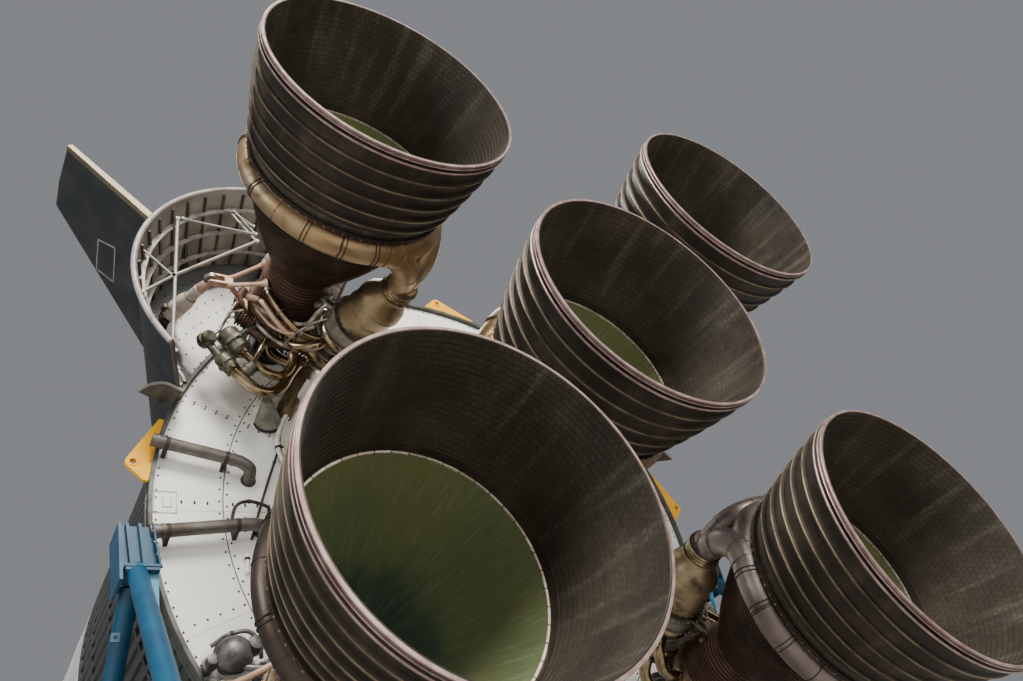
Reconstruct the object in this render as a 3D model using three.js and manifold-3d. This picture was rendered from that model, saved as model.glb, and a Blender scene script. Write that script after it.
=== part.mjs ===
// A rocket first stage lying on its display stands, as a 1:2 scale model.
// Every dimension below is full size, in millimetres; the last group halves them.
//
// Stage axes: X to the right seen from behind, Y forward from the engines' exit plane, Z up.
// The stage's centre line is the Y axis until the last group lifts it off the floor.
// An engine has axes of its own: the origin at its gimbal, X away from the stage's centre line,
// Y forward, so that its nozzle reaches towards -Y.

import * as THREE from "three";
import { mergeVertices } from "three/addons/utils/BufferGeometryUtils.js";
import { ConvexGeometry } from "three/addons/geometries/ConvexGeometry.js";
import Module from "manifold-3d";

const wasm = await Module();
wasm.setup();

// Driving dimensions
const SCALE = 1 / 2;
const GAP = 0.6; // 0.3 mm between touching pieces, once halved
const LAP = 20; // how far joined shapes run into each other
const BODY_R = 5030;
const AXIS_HEIGHT = 8350;
const BODY_SIDES = 40;
const ENGINE_SIDES = 16;

// Where each part of the stage begins, measured forward from the exit plane
const SHIELD_Y = 5720;
const SHIELD_THICK = 40;
const FUEL_TANK_Y = 11712;
const INTERTANK_Y = 19390;
const OXIDIZER_TANK_Y = 26096;
const FORWARD_SKIRT_Y = 39000;
const FRONT_Y = 42073;

// Engines
const GIMBAL_Y = 5470;
const ENGINE_CIRCLE_R = 4620;
const EXIT_T = 5470; // t is the distance behind the gimbal
const JOINT_T = 3806;
const THROAT_T = 1780;
const EXIT_R = 1780;
const THROAT_R = 460;
const INJECTOR_T = 860;
const BARREL_R = 508;

const COLORS = {
  white: [0xe6e4dd, 0.5, 0.1],
  black: [0x17181a, 0.35, 0.2],
  shield: [0xe9e6df, 0.45, 0.1],
  steel: [0x8b8a86, 0.45, 0.7],
  nozzle: [0x4a3c2e, 0.5, 0.7],
  chamber: [0x4e3526, 0.55, 0.6],
  duct: [0x8d7650, 0.4, 0.8],
  pump: [0x7a7468, 0.4, 0.8],
  copper: [0xa8775c, 0.45, 0.6],
  rod: [0xc8c8c4, 0.2, 1],
  blue: [0x0f7fa8, 0.45, 0.1],
  yellow: [0xe8b21c, 0.45, 0.1],
};

const materials = Object.fromEntries(
  Object.entries(COLORS).map(([name, [color, roughness, metalness]]) => [
    name,
    new THREE.MeshStandardMaterial({ color, roughness, metalness }),
  ]),
);

// Solids: closed shapes that can be joined and cut
function solidOf(geometry) {
  const bare = geometry.index ? geometry.toNonIndexed() : geometry.clone();
  bare.deleteAttribute("normal");
  bare.deleteAttribute("uv");
  const merged = mergeVertices(bare, 1e-3);
  return new wasm.Manifold(
    new wasm.Mesh({
      numProp: 3,
      vertProperties: merged.attributes.position.array,
      triVerts: new Uint32Array(merged.index.array),
    }),
  );
}

function geometryOf(solid) {
  const mesh = solid.getMesh();
  const geometry = new THREE.BufferGeometry();
  geometry.setAttribute("position", new THREE.BufferAttribute(mesh.vertProperties, 3));
  geometry.setIndex(new THREE.BufferAttribute(mesh.triVerts, 1));
  return geometry;
}

const join = (...solids) => solids.flat().reduce((sum, next) => sum.add(next));
const cut = (solid, ...tools) => tools.flat().reduce((rest, tool) => rest.subtract(tool), solid);

// A profile of [radius, y] points, turned about the Y axis. It starts and ends on the axis,
// or else closes on itself; either way round is turned so that its faces point outwards.
function turned(profile, sides = ENGINE_SIDES) {
  const onAxis = profile[0][0] === 0 && profile.at(-1)[0] === 0;
  const loop = onAxis ? profile : [...profile, profile[0]];
  const area = loop
    .slice(1)
    .reduce((sum, [r, y], i) => sum + loop[i][0] * y - r * loop[i][1], 0);
  const ordered = area < 0 ? [...loop].reverse() : loop;
  const points = ordered.map(([r, y]) => new THREE.Vector2(r, y));
  return solidOf(new THREE.LatheGeometry(points, sides));
}

const disc = (radius, y0, y1, sides) =>
  turned([[0, y0], [radius, y0], [radius, y1], [0, y1]], sides);

// A straight round bar between two points
function bar(from, to, radius, sides = 8, endRadius = radius) {
  const a = new THREE.Vector3(...from);
  const b = new THREE.Vector3(...to);
  const along = b.clone().sub(a);
  const geometry = new THREE.CylinderGeometry(endRadius, radius, along.length(), sides);
  const turn = new THREE.Quaternion().setFromUnitVectors(
    new THREE.Vector3(0, 1, 0),
    along.clone().normalize(),
  );
  geometry.applyQuaternion(turn).translate(...a.add(b).multiplyScalar(0.5).toArray());
  return solidOf(geometry);
}

// A bent round pipe through points
function pipe(points, radius, sides = 8, steps = 12) {
  const ring = new THREE.Shape(
    Array.from({ length: sides }, (_, i) => {
      const angle = (2 * Math.PI * i) / sides;
      return new THREE.Vector2(radius * Math.cos(angle), radius * Math.sin(angle));
    }),
  );
  const extrudePath = new THREE.CatmullRomCurve3(points.map((p) => new THREE.Vector3(...p)));
  return solidOf(new THREE.ExtrudeGeometry(ring, { steps, extrudePath, bevelEnabled: false }));
}

// A box given by its lowest and highest corners
function block(low, high) {
  const size = high.map((v, i) => v - low[i]);
  const middle = high.map((v, i) => (v + low[i]) / 2);
  return solidOf(new THREE.BoxGeometry(...size).translate(...middle));
}

const stage = new THREE.Group();

function add(name, solid, material, parent = stage) {
  const mesh = new THREE.Mesh(geometryOf(solid), materials[material]);
  mesh.name = name;
  parent.add(mesh);
  return mesh;
}

const rad = THREE.MathUtils.degToRad;
const mirrorX = (solid) => solid.scale([-1, 1, 1]);

// Engine places: side is the sign of X, level the sign of Z
const OFFSET = ENGINE_CIRCLE_R * Math.SQRT1_2;
const OUTER_ENGINES = [
  { name: "upper_left", side: -1, level: 1 },
  { name: "upper_right", side: 1, level: 1 },
  { name: "lower_left", side: -1, level: -1 },
  { name: "lower_right", side: 1, level: -1 },
].map((e) => ({ ...e, x: e.side * OFFSET, z: e.level * OFFSET }));

// Actuators: each lies in the plane of its engine's axis, between a ball on the stage beside the
// gimbal and a ball on the engine's outrigger.
const STAGE_BALL_R = 1750; // distance of the ball on the stage from the engine's axis
const ENGINE_BALL_R = 1290;
const ENGINE_BALL_T = 1080;
const BALL = 60;
const BALL_PIN = 25;
const EYE_HALF = 40;
const EAR_GAP = EYE_HALF + 16;
const EAR_THICK = 36;
const BALL_SIDES = 8;
const BALL_RINGS = 4;

// A ball on a pin that runs along local Z, with the ears that hold the pin on both sides.
// The ears reach from the ball towards +X by the given length, into what carries them.
function ballFork(reach) {
  const ball = solidOf(new THREE.SphereGeometry(BALL, BALL_SIDES, BALL_RINGS).rotateX(Math.PI / 2));
  const pin = bar([0, 0, -EAR_GAP - EAR_THICK], [0, 0, EAR_GAP + EAR_THICK], BALL_PIN, 6);
  const ears = [-1, 1].map((s) =>
    block(
      [-BALL, -BALL, Math.min(s * EAR_GAP, s * (EAR_GAP + EAR_THICK))],
      [reach, BALL, Math.max(s * EAR_GAP, s * (EAR_GAP + EAR_THICK))],
    ),
  );
  return join(ball, pin, ears);
}

// Moves a solid made at the origin: local X and Y directions, then the place
function placed(solid, place, xAxis, yAxis) {
  const x = new THREE.Vector3(...xAxis).normalize();
  const y = new THREE.Vector3(...yAxis).normalize();
  const z = new THREE.Vector3().crossVectors(x, y);
  const matrix = new THREE.Matrix4().makeBasis(x, y, z).setPosition(...place);
  return solid.transform(matrix.elements);
}

// Stage body

// The skirt is a ring open at the front; its wall stands for skin, stringers and ring frames.
const SKIRT_WALL = 120;
const SKIRT_LAP = 60;
add(
  "forward_skirt",
  turned(
    [
      [BODY_R - SKIRT_WALL, FORWARD_SKIRT_Y + GAP],
      [BODY_R, FORWARD_SKIRT_Y + GAP],
      [BODY_R, FRONT_Y],
      [BODY_R - 2 * SKIRT_WALL, FRONT_Y],
      [BODY_R - 2 * SKIRT_WALL, FRONT_Y - SKIRT_LAP],
      [BODY_R - SKIRT_WALL, FRONT_Y - SKIRT_LAP],
    ],
    BODY_SIDES,
  ),
  "white",
);

// The tank's forward dome is half an ellipsoid whose top lies just inside the skirt.
const DOME_HEIGHT = 2900;
const DOME_GAP = 60; // between the dome and the skirt's wall
const DOME_R = BODY_R - SKIRT_WALL - DOME_GAP;
const DOME_RINGS = 5;
const dome = Array.from({ length: DOME_RINGS + 1 }, (_, i) => {
  const angle = (Math.PI / 2) * (i / DOME_RINGS);
  const radius = i === DOME_RINGS ? 0 : DOME_R * Math.cos(angle);
  return [radius, FORWARD_SKIRT_Y + DOME_HEIGHT * Math.sin(angle)];
});
add(
  "oxidizer_tank",
  turned(
    [[0, OXIDIZER_TANK_Y + GAP], [BODY_R, OXIDIZER_TANK_Y + GAP], [BODY_R, FORWARD_SKIRT_Y], ...dome],
    BODY_SIDES,
  ),
  "white",
);
add("intertank", disc(BODY_R, INTERTANK_Y + GAP, OXIDIZER_TANK_Y, BODY_SIDES), "white");
add("fuel_tank", disc(BODY_R, FUEL_TANK_Y + GAP, INTERTANK_Y, BODY_SIDES), "white");

// Gimbal mounts: a post through the heat shield whose fork holds the gimbal block's pins along X
const POST_R = 330;
const POST_END_Y = 5660;
const POST_TOP_Y = SHIELD_Y + 100; // inside the thrust structure
const POST_SIDES = 12;
const PIN_R = 60;
const PIN_SIDES = 8;
const PIN_HOLE_R = (PIN_R + 2 * GAP) / Math.cos(Math.PI / PIN_SIDES);
const BLOCK_HALF = 150;
const FORK_IN = 170;
const FORK_OUT = 250;
const FORK_HALF = 120;
const PIN_END = 235;

function mountFork() {
  const post = disc(POST_R, POST_END_Y - GIMBAL_Y, POST_TOP_Y - GIMBAL_Y, POST_SIDES);
  const ears = [-1, 1].map((s) =>
    block(
      [Math.min(s * FORK_IN, s * FORK_OUT), -FORK_HALF, -FORK_HALF],
      [Math.max(s * FORK_IN, s * FORK_OUT), POST_END_Y - GIMBAL_Y + LAP, FORK_HALF],
    ),
  );
  // the bore is turned by half a side, so that its flats face the pin's corners
  const bore = bar([-FORK_OUT - LAP, 0, 0], [FORK_OUT + LAP, 0, 0], PIN_HOLE_R, PIN_SIDES);
  return cut(join(post, ears), bore.rotate([180 / PIN_SIDES, 0, 0]));
}

// The block between the two forks: pins along X for the stage, along Z for the engine
function gimbalBlock() {
  return join(
    block(
      [-BLOCK_HALF, -BLOCK_HALF / 2, -BLOCK_HALF],
      [BLOCK_HALF, BLOCK_HALF / 2, BLOCK_HALF],
    ),
    bar([-PIN_END, 0, 0], [PIN_END, 0, 0], PIN_R, PIN_SIDES),
    bar([0, 0, -PIN_END], [0, 0, PIN_END], PIN_R, PIN_SIDES),
  );
}

// Brackets that carry the actuators' stage ends out beyond the body
const BRACKET_BEAM = 110; // half its width, and its depth along Y
const BRACKET_REACH = 460;
const BRACKET_INBOARD = 1400;

function actuatorBracket(engine, alongX) {
  const outward = alongX ? [engine.side, 0, 0] : [0, 0, engine.level];
  const ball = [
    engine.x + outward[0] * STAGE_BALL_R,
    GIMBAL_Y,
    engine.z + outward[2] * STAGE_BALL_R,
  ];
  const fork = placed(ballFork(BRACKET_REACH), ball, [0, 1, 0], outward);
  // the beam runs from inside the body to the far side of the ball
  const beamY = BRACKET_REACH - LAP;
  const beam = block(
    [-BRACKET_INBOARD, beamY, -BRACKET_BEAM],
    [BALL, beamY + 2 * BRACKET_BEAM, BRACKET_BEAM],
  );
  return join(fork, placed(beam, ball, outward, [0, 1, 0]));
}

const centerMount = disc(POST_R, POST_END_Y, POST_TOP_Y, POST_SIDES);
const SHIELD_FRONT_Y = SHIELD_Y + SHIELD_THICK;
const EDGE_GAP = 5; // between the shield's edge and the brackets that pass it
const shieldKeepOut = disc(BODY_R + EDGE_GAP, 0, SHIELD_FRONT_Y + GAP, BODY_SIDES);
const brackets = OUTER_ENGINES.flatMap((engine) =>
  [true, false].map((alongX) => cut(actuatorBracket(engine, alongX), shieldKeepOut)),
);
const forks = OUTER_ENGINES.map((engine) => mountFork().translate([engine.x, GIMBAL_Y, engine.z]));
add(
  "thrust_structure",
  join(disc(BODY_R, SHIELD_FRONT_Y + GAP, FUEL_TANK_Y, BODY_SIDES), forks, centerMount, brackets),
  "white",
);

const POST_GAP = 20; // around the posts where they pass the shield
const postHoles = [{ x: 0, z: 0 }, ...OUTER_ENGINES].map(({ x, z }) =>
  disc(POST_R + POST_GAP, 0, FUEL_TANK_Y, POST_SIDES).translate([x, 0, z]),
);
add(
  "heat_shield",
  cut(disc(BODY_R, SHIELD_Y, SHIELD_FRONT_Y, BODY_SIDES), postHoles),
  "shield",
);

// End ring with the yellow handling lugs on both sides of each quarter point, apart from
// the two places where the stand's brackets are bolted on
const RING_THICK = 60;
const RING_R = BODY_R + GAP + RING_THICK;
const RING_Y = [5640, 5900];
// columns: angle of the quarter point, side of it on which the lug stands
const LUG_PLACES = [
  [180, -1],
  [90, 1],
  [90, -1],
  [0, 1],
  [-90, 1],
  [-90, -1],
];
const LUG_ASIDE = 9; // degrees from the quarter point to the middle of the lug's root
// A lug is a plate in the ring's plane, whose tip leans towards the quarter point; its root
// reaches into the ring and its aftY is the gap to the ring's rear edge.
const LUG = {
  halfBase: 560,
  rise: 350,
  lean: 290,
  tipR: 105,
  holeR: 45,
  thick: 60,
  root: 30,
  edge: 60,
  aftY: 40,
};

// toward is the side on which the quarter point lies
function lug(toward) {
  const tip = new THREE.Vector2(LUG.rise - LUG.tipR, toward * LUG.lean);
  const [low, high] = [-1, 1].map((s) => new THREE.Vector2(LUG.edge, s * LUG.halfBase));
  // the plate's sides touch the round tip where it starts and ends
  const [start, end] = [low, high].map((corner, i) => {
    const line = corner.clone().sub(tip);
    const turn = Math.acos(LUG.tipR / line.length());
    return line.angle() + (i === 0 ? turn : -turn);
  });
  const shape = new THREE.Shape();
  shape.moveTo(-LUG.root, low.y);
  shape.lineTo(low.x, low.y);
  shape.absarc(tip.x, tip.y, LUG.tipR, start, end, false);
  shape.lineTo(high.x, high.y);
  shape.lineTo(-LUG.root, high.y);
  shape.closePath();
  shape.holes.push(new THREE.Path().absarc(tip.x, tip.y, LUG.holeR, 0, 2 * Math.PI, true));
  const options = { depth: LUG.thick, bevelEnabled: false, curveSegments: 4 };
  return solidOf(new THREE.ExtrudeGeometry(shape, options).rotateX(Math.PI / 2));
}

const bodyKeepOut = disc(BODY_R + GAP, 0, FRONT_Y, BODY_SIDES);
const lugs = LUG_PLACES.map(([quarter, side]) =>
  lug(-side)
    .translate([RING_R, RING_Y[0] + LUG.aftY + LUG.thick, 0])
    .rotate([0, -(quarter + side * LUG_ASIDE), 0]),
);
add(
  "aft_ring",
  cut(join(disc(RING_R, ...RING_Y, BODY_SIDES), lugs), bodyKeepOut),
  "yellow",
);

// Tunnels along the top and bottom of the body: their sides rise to the shoulders, and the flat
// top lies between them
const TUNNEL = { halfWidth: 420, halfTop: 252, shoulder: 182, height: 260, startY: 6400, endY: 41300 };
function tunnel() {
  const shape = new THREE.Shape([
    new THREE.Vector2(-TUNNEL.halfWidth, 0),
    new THREE.Vector2(TUNNEL.halfWidth, 0),
    new THREE.Vector2(TUNNEL.halfWidth, BODY_R + TUNNEL.shoulder),
    new THREE.Vector2(TUNNEL.halfTop, BODY_R + TUNNEL.height),
    new THREE.Vector2(-TUNNEL.halfTop, BODY_R + TUNNEL.height),
    new THREE.Vector2(-TUNNEL.halfWidth, BODY_R + TUNNEL.shoulder),
  ]);
  const options = { depth: TUNNEL.endY - TUNNEL.startY, bevelEnabled: false };
  const box = solidOf(new THREE.ExtrudeGeometry(shape, options).rotateX(Math.PI / 2));
  return cut(box.translate([0, TUNNEL.endY, 0]), bodyKeepOut);
}
add("tunnel_top", tunnel(), "white");
add("tunnel_bottom", tunnel().rotate([0, 180, 0]), "white");

// Drain pipes that cross the heat shield on two saddles and turn into it at their inner end
const DRAIN_R = 95;
const DRAIN_Y = SHIELD_Y - 240;
const SADDLE_HALF = 30;
const SADDLE_SHARES = [0.17, 0.85]; // where the saddles stand, as shares of the straight run
// Each row: name, points along the pipe's line, the first two being the ends of its straight run
const DRAIN_PIPES = [
  [
    "drain_pipe_upper",
    [
      [-5110, DRAIN_Y, 815],
      [-3860, DRAIN_Y, 582],
      [-3700, DRAIN_Y + 50, 510],
      [-3665, DRAIN_Y + 140, 440],
      [-3660, SHIELD_Y - GAP, 400],
    ],
  ],
  [
    "drain_pipe_lower",
    [
      [-5080, DRAIN_Y, -697],
      [-3700, DRAIN_Y, -495],
      [-3530, DRAIN_Y + 80, -470],
      [-3500, SHIELD_Y - GAP, -465],
    ],
  ],
];
const shieldKeep = disc(BODY_R + LAP, SHIELD_Y - GAP, FUEL_TANK_Y, BODY_SIDES);
for (const [name, [start, bend, ...rest]] of DRAIN_PIPES) {
  const onRun = (share) => start.map((v, i) => v + (bend[i] - v) * share);
  const run = pipe([start, onRun(0.5), bend, ...rest], DRAIN_R, 8, 12);
  const saddles = SADDLE_SHARES.map((share) =>
    block(
      [-SADDLE_HALF, 0, -DRAIN_R],
      [SADDLE_HALF, SHIELD_Y - GAP - DRAIN_Y, DRAIN_R],
    ).translate(onRun(share)),
  );
  add(name, cut(join(run, saddles), shieldKeep), "steel");
}

// Fairings around the two upper engines: half a cone about the engine's axis, outside the body.
// Aft of the heat shield its long edges lean away from the body; a floor carries the shield on
// across the bay.
const FAIRING = { aftY: 4250, aftR: 2450, wall: 90, slope: 0.27, endY: 12000, sides: 40, lean: 400 };
const fairingR = (y) => FAIRING.aftR - FAIRING.slope * (y - FAIRING.aftY);

// A cone inside the fairing's outer face by the inset, which may start further aft
function fairingCone(inset, y0 = FAIRING.aftY) {
  const y1 = FAIRING.endY;
  const profile = [[0, y0], [fairingR(y0) - inset, y0], [fairingR(y1) - inset, y1], [0, y1]];
  return turned(profile, FAIRING.sides);
}

const edgeLean = turned(
  [
    [0, 2 * FAIRING.aftY - SHIELD_Y],
    [BODY_R + GAP + 2 * FAIRING.lean, 2 * FAIRING.aftY - SHIELD_Y],
    [BODY_R + GAP, SHIELD_Y],
    [0, SHIELD_Y],
  ],
  BODY_SIDES,
);

// The floor, with a hole where each actuator's fork comes through
const FORK_GAP = 20;
function fairingFloor(engine) {
  const radius = fairingR(SHIELD_FRONT_Y) - FAIRING.wall / 2;
  const plate = disc(radius, SHIELD_Y, SHIELD_FRONT_Y, FAIRING.sides);
  const acrossFork = EAR_GAP + EAR_THICK + FORK_GAP;
  const alongFork = BALL + FORK_GAP;
  const holes = [
    [engine.side * STAGE_BALL_R, 0, alongFork, acrossFork],
    [0, engine.level * STAGE_BALL_R, acrossFork, alongFork],
  ].map(([x, z, halfX, halfZ]) =>
    block([x - halfX, 0, z - halfZ], [x + halfX, FUEL_TANK_Y, z + halfZ]),
  );
  return cut(plate, holes).translate([engine.x, 0, engine.z]);
}

// Fins stand on the fairings at 45 degrees: a leading edge, a crease at mid chord, a blunt tail
// columns: distance from the stage's axis, leading edge y, crease y, trailing edge y, half
// thickness at the crease, half thickness at the trailing edge
const FIN_SECTIONS = [
  [5600, 8760, 6080, 5180, 200, 68],
  [9650, 6600, 6010, 5195, 85, 36],
];
const FIN_EDGE = 18; // half thickness of the leading edge

const RING_CLEAR = 5; // before and behind the end ring
const ringKeepOut = disc(RING_R + GAP, RING_Y[0] - RING_CLEAR, RING_Y[1] + RING_CLEAR, BODY_SIDES);

for (const engine of OUTER_ENGINES.filter(({ level }) => level > 0)) {
  const hand = engine.side < 0 ? "left" : "right";
  const outer = fairingCone(0).translate([engine.x, 0, engine.z]);
  const inner = fairingCone(FAIRING.wall, FAIRING.aftY - LAP).translate([engine.x, 0, engine.z]);
  const shell = join(cut(outer, inner), fairingFloor(engine));
  add("fairing_" + hand, cut(shell, bodyKeepOut, ringKeepOut, edgeLean), "black");

  const corners = FIN_SECTIONS.flatMap(([radius, lead, crease, trail, halfCrease, halfTrail]) =>
    [-1, 1].flatMap((s) => [
      new THREE.Vector3(radius, lead, s * FIN_EDGE),
      new THREE.Vector3(radius, crease, s * halfCrease),
      new THREE.Vector3(radius, trail, s * halfTrail),
    ]),
  );
  const finAngle = Math.atan2(engine.z, engine.x);
  const fin = solidOf(new ConvexGeometry(corners).rotateY(-finAngle));
  const seat = fairingCone(-GAP, 0).translate([engine.x, 0, engine.z]);
  add("fin_" + hand, cut(fin, seat), "black");
}

// Engines
// The bell's inner line, from throat to exit, as one quadratic curve
const bell = new THREE.QuadraticBezierCurve(
  new THREE.Vector2(THROAT_R, THROAT_T),
  new THREE.Vector2(1491, 3064), // where the lines along both ends meet
  new THREE.Vector2(EXIT_R, EXIT_T),
);
const BELL_STEPS = 200;
const bellPoints = bell.getPoints(BELL_STEPS);
// The bell's inner radius at a distance behind the gimbal
function bellR(t) {
  const i = bellPoints.findIndex((p) => p.y >= t);
  const a = bellPoints[Math.max(i - 1, 0)];
  const b = bellPoints[i < 0 ? BELL_STEPS : i];
  return b.y === a.y ? a.x : a.x + ((b.x - a.x) * (t - a.y)) / (b.y - a.y);
}

const BELL_WALL = 55;
const EXTENSION_WALL = 80; // reaches over the bands
const RIM_WALL = 54;
const RIM_DEPTH = 60;
const BANDED_T = 4600; // the outside follows the bell here too
// columns: distance behind the gimbal, radius of the chamber's outside
const CHAMBER_OUTSIDE = [
  [190, 280],
  [520, 640],
  [900, 640],
  [960, 580],
  [1450, 580],
  [1720, 525],
  [2150, bellR(2150) + BELL_WALL],
  [2900, bellR(2900) + BELL_WALL],
  [JOINT_T, bellR(JOINT_T) + BELL_WALL],
];
const CHAMBER_INSIDE = [
  [JOINT_T, bellR(JOINT_T)],
  [2900, bellR(2900)],
  [2150, bellR(2150)],
  [THROAT_T, THROAT_R],
  [1400, BARREL_R],
  [INJECTOR_T, BARREL_R],
];
// The outside's radius at a distance behind the gimbal, on the straight lines between the rows
function outsideR(t) {
  const i = CHAMBER_OUTSIDE.findIndex(([at]) => at >= t);
  const [[t0, r0], [t1, r1]] = CHAMBER_OUTSIDE.slice(i - 1, i + 1);
  return r0 + ((r1 - r0) * (t - t0)) / (t1 - t0);
}
const asProfile = (rows, grow = 0) => rows.map(([t, r]) => [r + grow, -t]);

function chamberEnvelope(grow) {
  const rows = asProfile(CHAMBER_OUTSIDE, grow);
  const [first, last] = [rows[0], rows.at(-1)];
  return turned([[0, first[1] + grow], [first[0], first[1] + grow], ...rows, [0, last[1]]]);
}

function nozzleExtension() {
  const start = JOINT_T + GAP;
  return turned([
    [bellR(start), -start],
    [bellR(start) + EXTENSION_WALL, -start],
    [bellR(BANDED_T) + EXTENSION_WALL, -BANDED_T],
    [EXIT_R + RIM_WALL, -EXIT_T + RIM_DEPTH],
    [EXIT_R + RIM_WALL, -EXIT_T],
    [EXIT_R, -EXIT_T],
    [bellR(BANDED_T), -BANDED_T],
  ]);
}

const STRUT_R = 42;
const STRUT_SIDES = 5;
// Outrigger struts: where each meets the chamber, as distance behind the gimbal and angle aside
const OUTRIGGER_FEET = [
  [550, 0],
  [1450, 25],
  [1450, -25],
];
const FOOT_R = 560; // inside the chamber's wall
const APEX_BACK = 260; // the struts meet this far inboard of the ball

// An outrigger in the plane of X and Y: three struts to a fork that holds the ball.
function outrigger() {
  const apex = [ENGINE_BALL_R - APEX_BACK, -ENGINE_BALL_T, 0];
  const struts = OUTRIGGER_FEET.map(([t, deg]) => {
    const foot = [FOOT_R * Math.cos(rad(deg)), -t, FOOT_R * Math.sin(rad(deg))];
    return bar(foot, apex, STRUT_R, STRUT_SIDES);
  });
  const ball = [ENGINE_BALL_R, -ENGINE_BALL_T, 0];
  const fork = placed(ballFork(APEX_BACK + BALL), ball, [-1, 0, 0], [0, 1, 0]);
  const bridge = block([-BALL, -BALL, -EAR_GAP - LAP], [BALL, BALL, EAR_GAP + LAP]);
  return join(fork, bridge.translate(apex), struts);
}

const YOKE_HALF = 120;
const YOKE_BACK = 230; // inside the dome
function engineYoke() {
  const bore = bar([0, 0, -FORK_OUT - LAP], [0, 0, FORK_OUT + LAP], PIN_HOLE_R, PIN_SIDES);
  const ears = [-1, 1].map((s) =>
    block(
      [-YOKE_HALF, -YOKE_BACK, Math.min(s * FORK_IN, s * FORK_OUT)],
      [YOKE_HALF, YOKE_HALF, Math.max(s * FORK_IN, s * FORK_OUT)],
    ),
  );
  return cut(join(...ears), bore.rotate([0, 0, 180 / PIN_SIDES]));
}

const centerYoke = () => disc(POST_R, -YOKE_BACK, POST_END_Y - GIMBAL_Y - GAP, POST_SIDES);

// outriggerTurns: the outriggers' directions about the engine's axis, in degrees from outboard
function thrustChamber(outriggerTurns) {
  const profile = [
    [0, -CHAMBER_OUTSIDE[0][0]],
    ...asProfile(CHAMBER_OUTSIDE),
    ...asProfile(CHAMBER_INSIDE),
    [0, -INJECTOR_T],
  ];
  const hollow = turned(asProfile(CHAMBER_INSIDE).concat([[0, -INJECTOR_T], [0, -JOINT_T]]));
  const arms = outriggerTurns.map((deg) => cut(outrigger().rotate([0, -deg, 0]), hollow));
  return join(turned(profile), arms);
}

// Exhaust manifold: a ring around the bell, fed on the inboard side by the heat exchanger
const MANIFOLD = { t: 3530, r: 1415, tube: 180, sides: 6 };
// The pump line, inboard of the chamber and leaning out towards the tail
const PUMP_START = [-880, -430, 0];
const PUMP_END = [-1560, -2650, 0];
// columns: share of the pump line at each end, radius
const PUMP_BODIES = [
  [0.0, 0.22, 430],
  [0.2, 0.3, 320],
  [0.28, 0.44, 400],
  [0.42, 0.56, 470],
];
const EXCHANGER_BODIES = [
  [0.562, 0.88, 420],
  [0.86, 1.0, 300],
];
const along = (share) => PUMP_START.map((v, i) => v + (PUMP_END[i] - v) * share);
const drums = (rows) => rows.map(([a, b, r]) => bar(along(a), along(b), r, 8));
const onSide = (points, side) => points.map(([x, y, z]) => [x, y, side * z]);
// From the exchanger's end a branch bends into each half of the ring
const BRANCH = [along(0.97), [-1640, -2930, 90], [-1640, -3230, 230], [-1330, -3500, 480]];
const BRANCH_R = 200;
// The ducts on one side of the pump: oxidizer to the dome, fuel to the injector's manifold
const OXIDIZER_DUCT = [along(0.15), [-760, -330, 480], [-420, -250, 520], [-200, -330, 380]];
const FUEL_DUCT = [along(0.35), [-1000, -1080, 560], [-700, -900, 680], [-420, -760, 480]];
const OXIDIZER_DUCT_R = 95;
const FUEL_DUCT_R = 85;
// The brackets between pump and chamber, as shares of the pump line
const PUMP_BRACKETS = [0.2, 0.5];
const PUMP_BRACKET_R = 90;
const PUMP_BRACKET_X = -300; // inside the chamber
const PUMP_BRACKET_RISE = 60;

function exhaustManifold(keepOut) {
  const ring = turned(
    Array.from({ length: MANIFOLD.sides }, (_, i) => {
      const angle = (2 * Math.PI * (i + 0.5)) / MANIFOLD.sides;
      const t = MANIFOLD.t - MANIFOLD.tube * Math.sin(angle);
      return [Math.max(MANIFOLD.r + MANIFOLD.tube * Math.cos(angle), outsideR(t) + GAP), -t];
    }),
  );
  const branches = [-1, 1].map((s) => pipe(onSide(BRANCH, s), BRANCH_R, 8, 5));
  return cut(join(ring, branches, drums(EXCHANGER_BODIES)), keepOut);
}

function turbopump(keepOut) {
  const ducts = [-1, 1].flatMap((s) => [
    pipe(onSide(OXIDIZER_DUCT, s), OXIDIZER_DUCT_R, 6, 4),
    pipe(onSide(FUEL_DUCT, s), FUEL_DUCT_R, 6, 4),
  ]);
  const brackets = PUMP_BRACKETS.map((share) => {
    const [x, y] = along(share);
    return bar([x, y, 0], [PUMP_BRACKET_X, y + PUMP_BRACKET_RISE, 0], PUMP_BRACKET_R, 5);
  });
  return cut(join(drums(PUMP_BODIES), ducts, brackets), keepOut);
}

function addEngine(name, parent, outriggerTurns, yoke) {
  const envelope = chamberEnvelope(GAP);
  add("nozzle_extension_" + name, nozzleExtension(), "nozzle", parent);
  const chamber = join(thrustChamber(outriggerTurns), yoke);
  add("thrust_chamber_" + name, chamber, "chamber", parent);
  add("turbopump_" + name, turbopump(envelope), "pump", parent);
  add("exhaust_manifold_" + name, exhaustManifold(envelope), "duct", parent);
}

// The centre engine doesn't turn, and its pump side points left
const centerEngine = new THREE.Group();
centerEngine.position.set(0, GIMBAL_Y, 0);
stage.add(centerEngine);
addEngine("center", centerEngine, [], centerYoke());

// Actuator pieces along local X, from the stage's ball at 0 to the engine's ball at the length
const ACTUATOR_LENGTH = Math.hypot(STAGE_BALL_R - ENGINE_BALL_R, ENGINE_BALL_T);
const STROKE = 150; // each way
const EYE_R = 100;
const BARREL = { radius: 105, start: 90, end: 740 };
const NECK_START = 70;
const ROD = { radius: 46, start: BARREL.end - STROKE - 2 * LAP, sides: 8 };
const ROD_END = ACTUATOR_LENGTH - 80; // inside the eye's ring
const EYE_HOLE_R = (BALL + 1.6 * GAP) / Math.cos(Math.PI / BALL_SIDES);
const ROD_EYE_HOLE_R = BALL + 14;
const ROD_EYE_SLOT = 52; // half the travel of the loose eye across the rod

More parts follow.
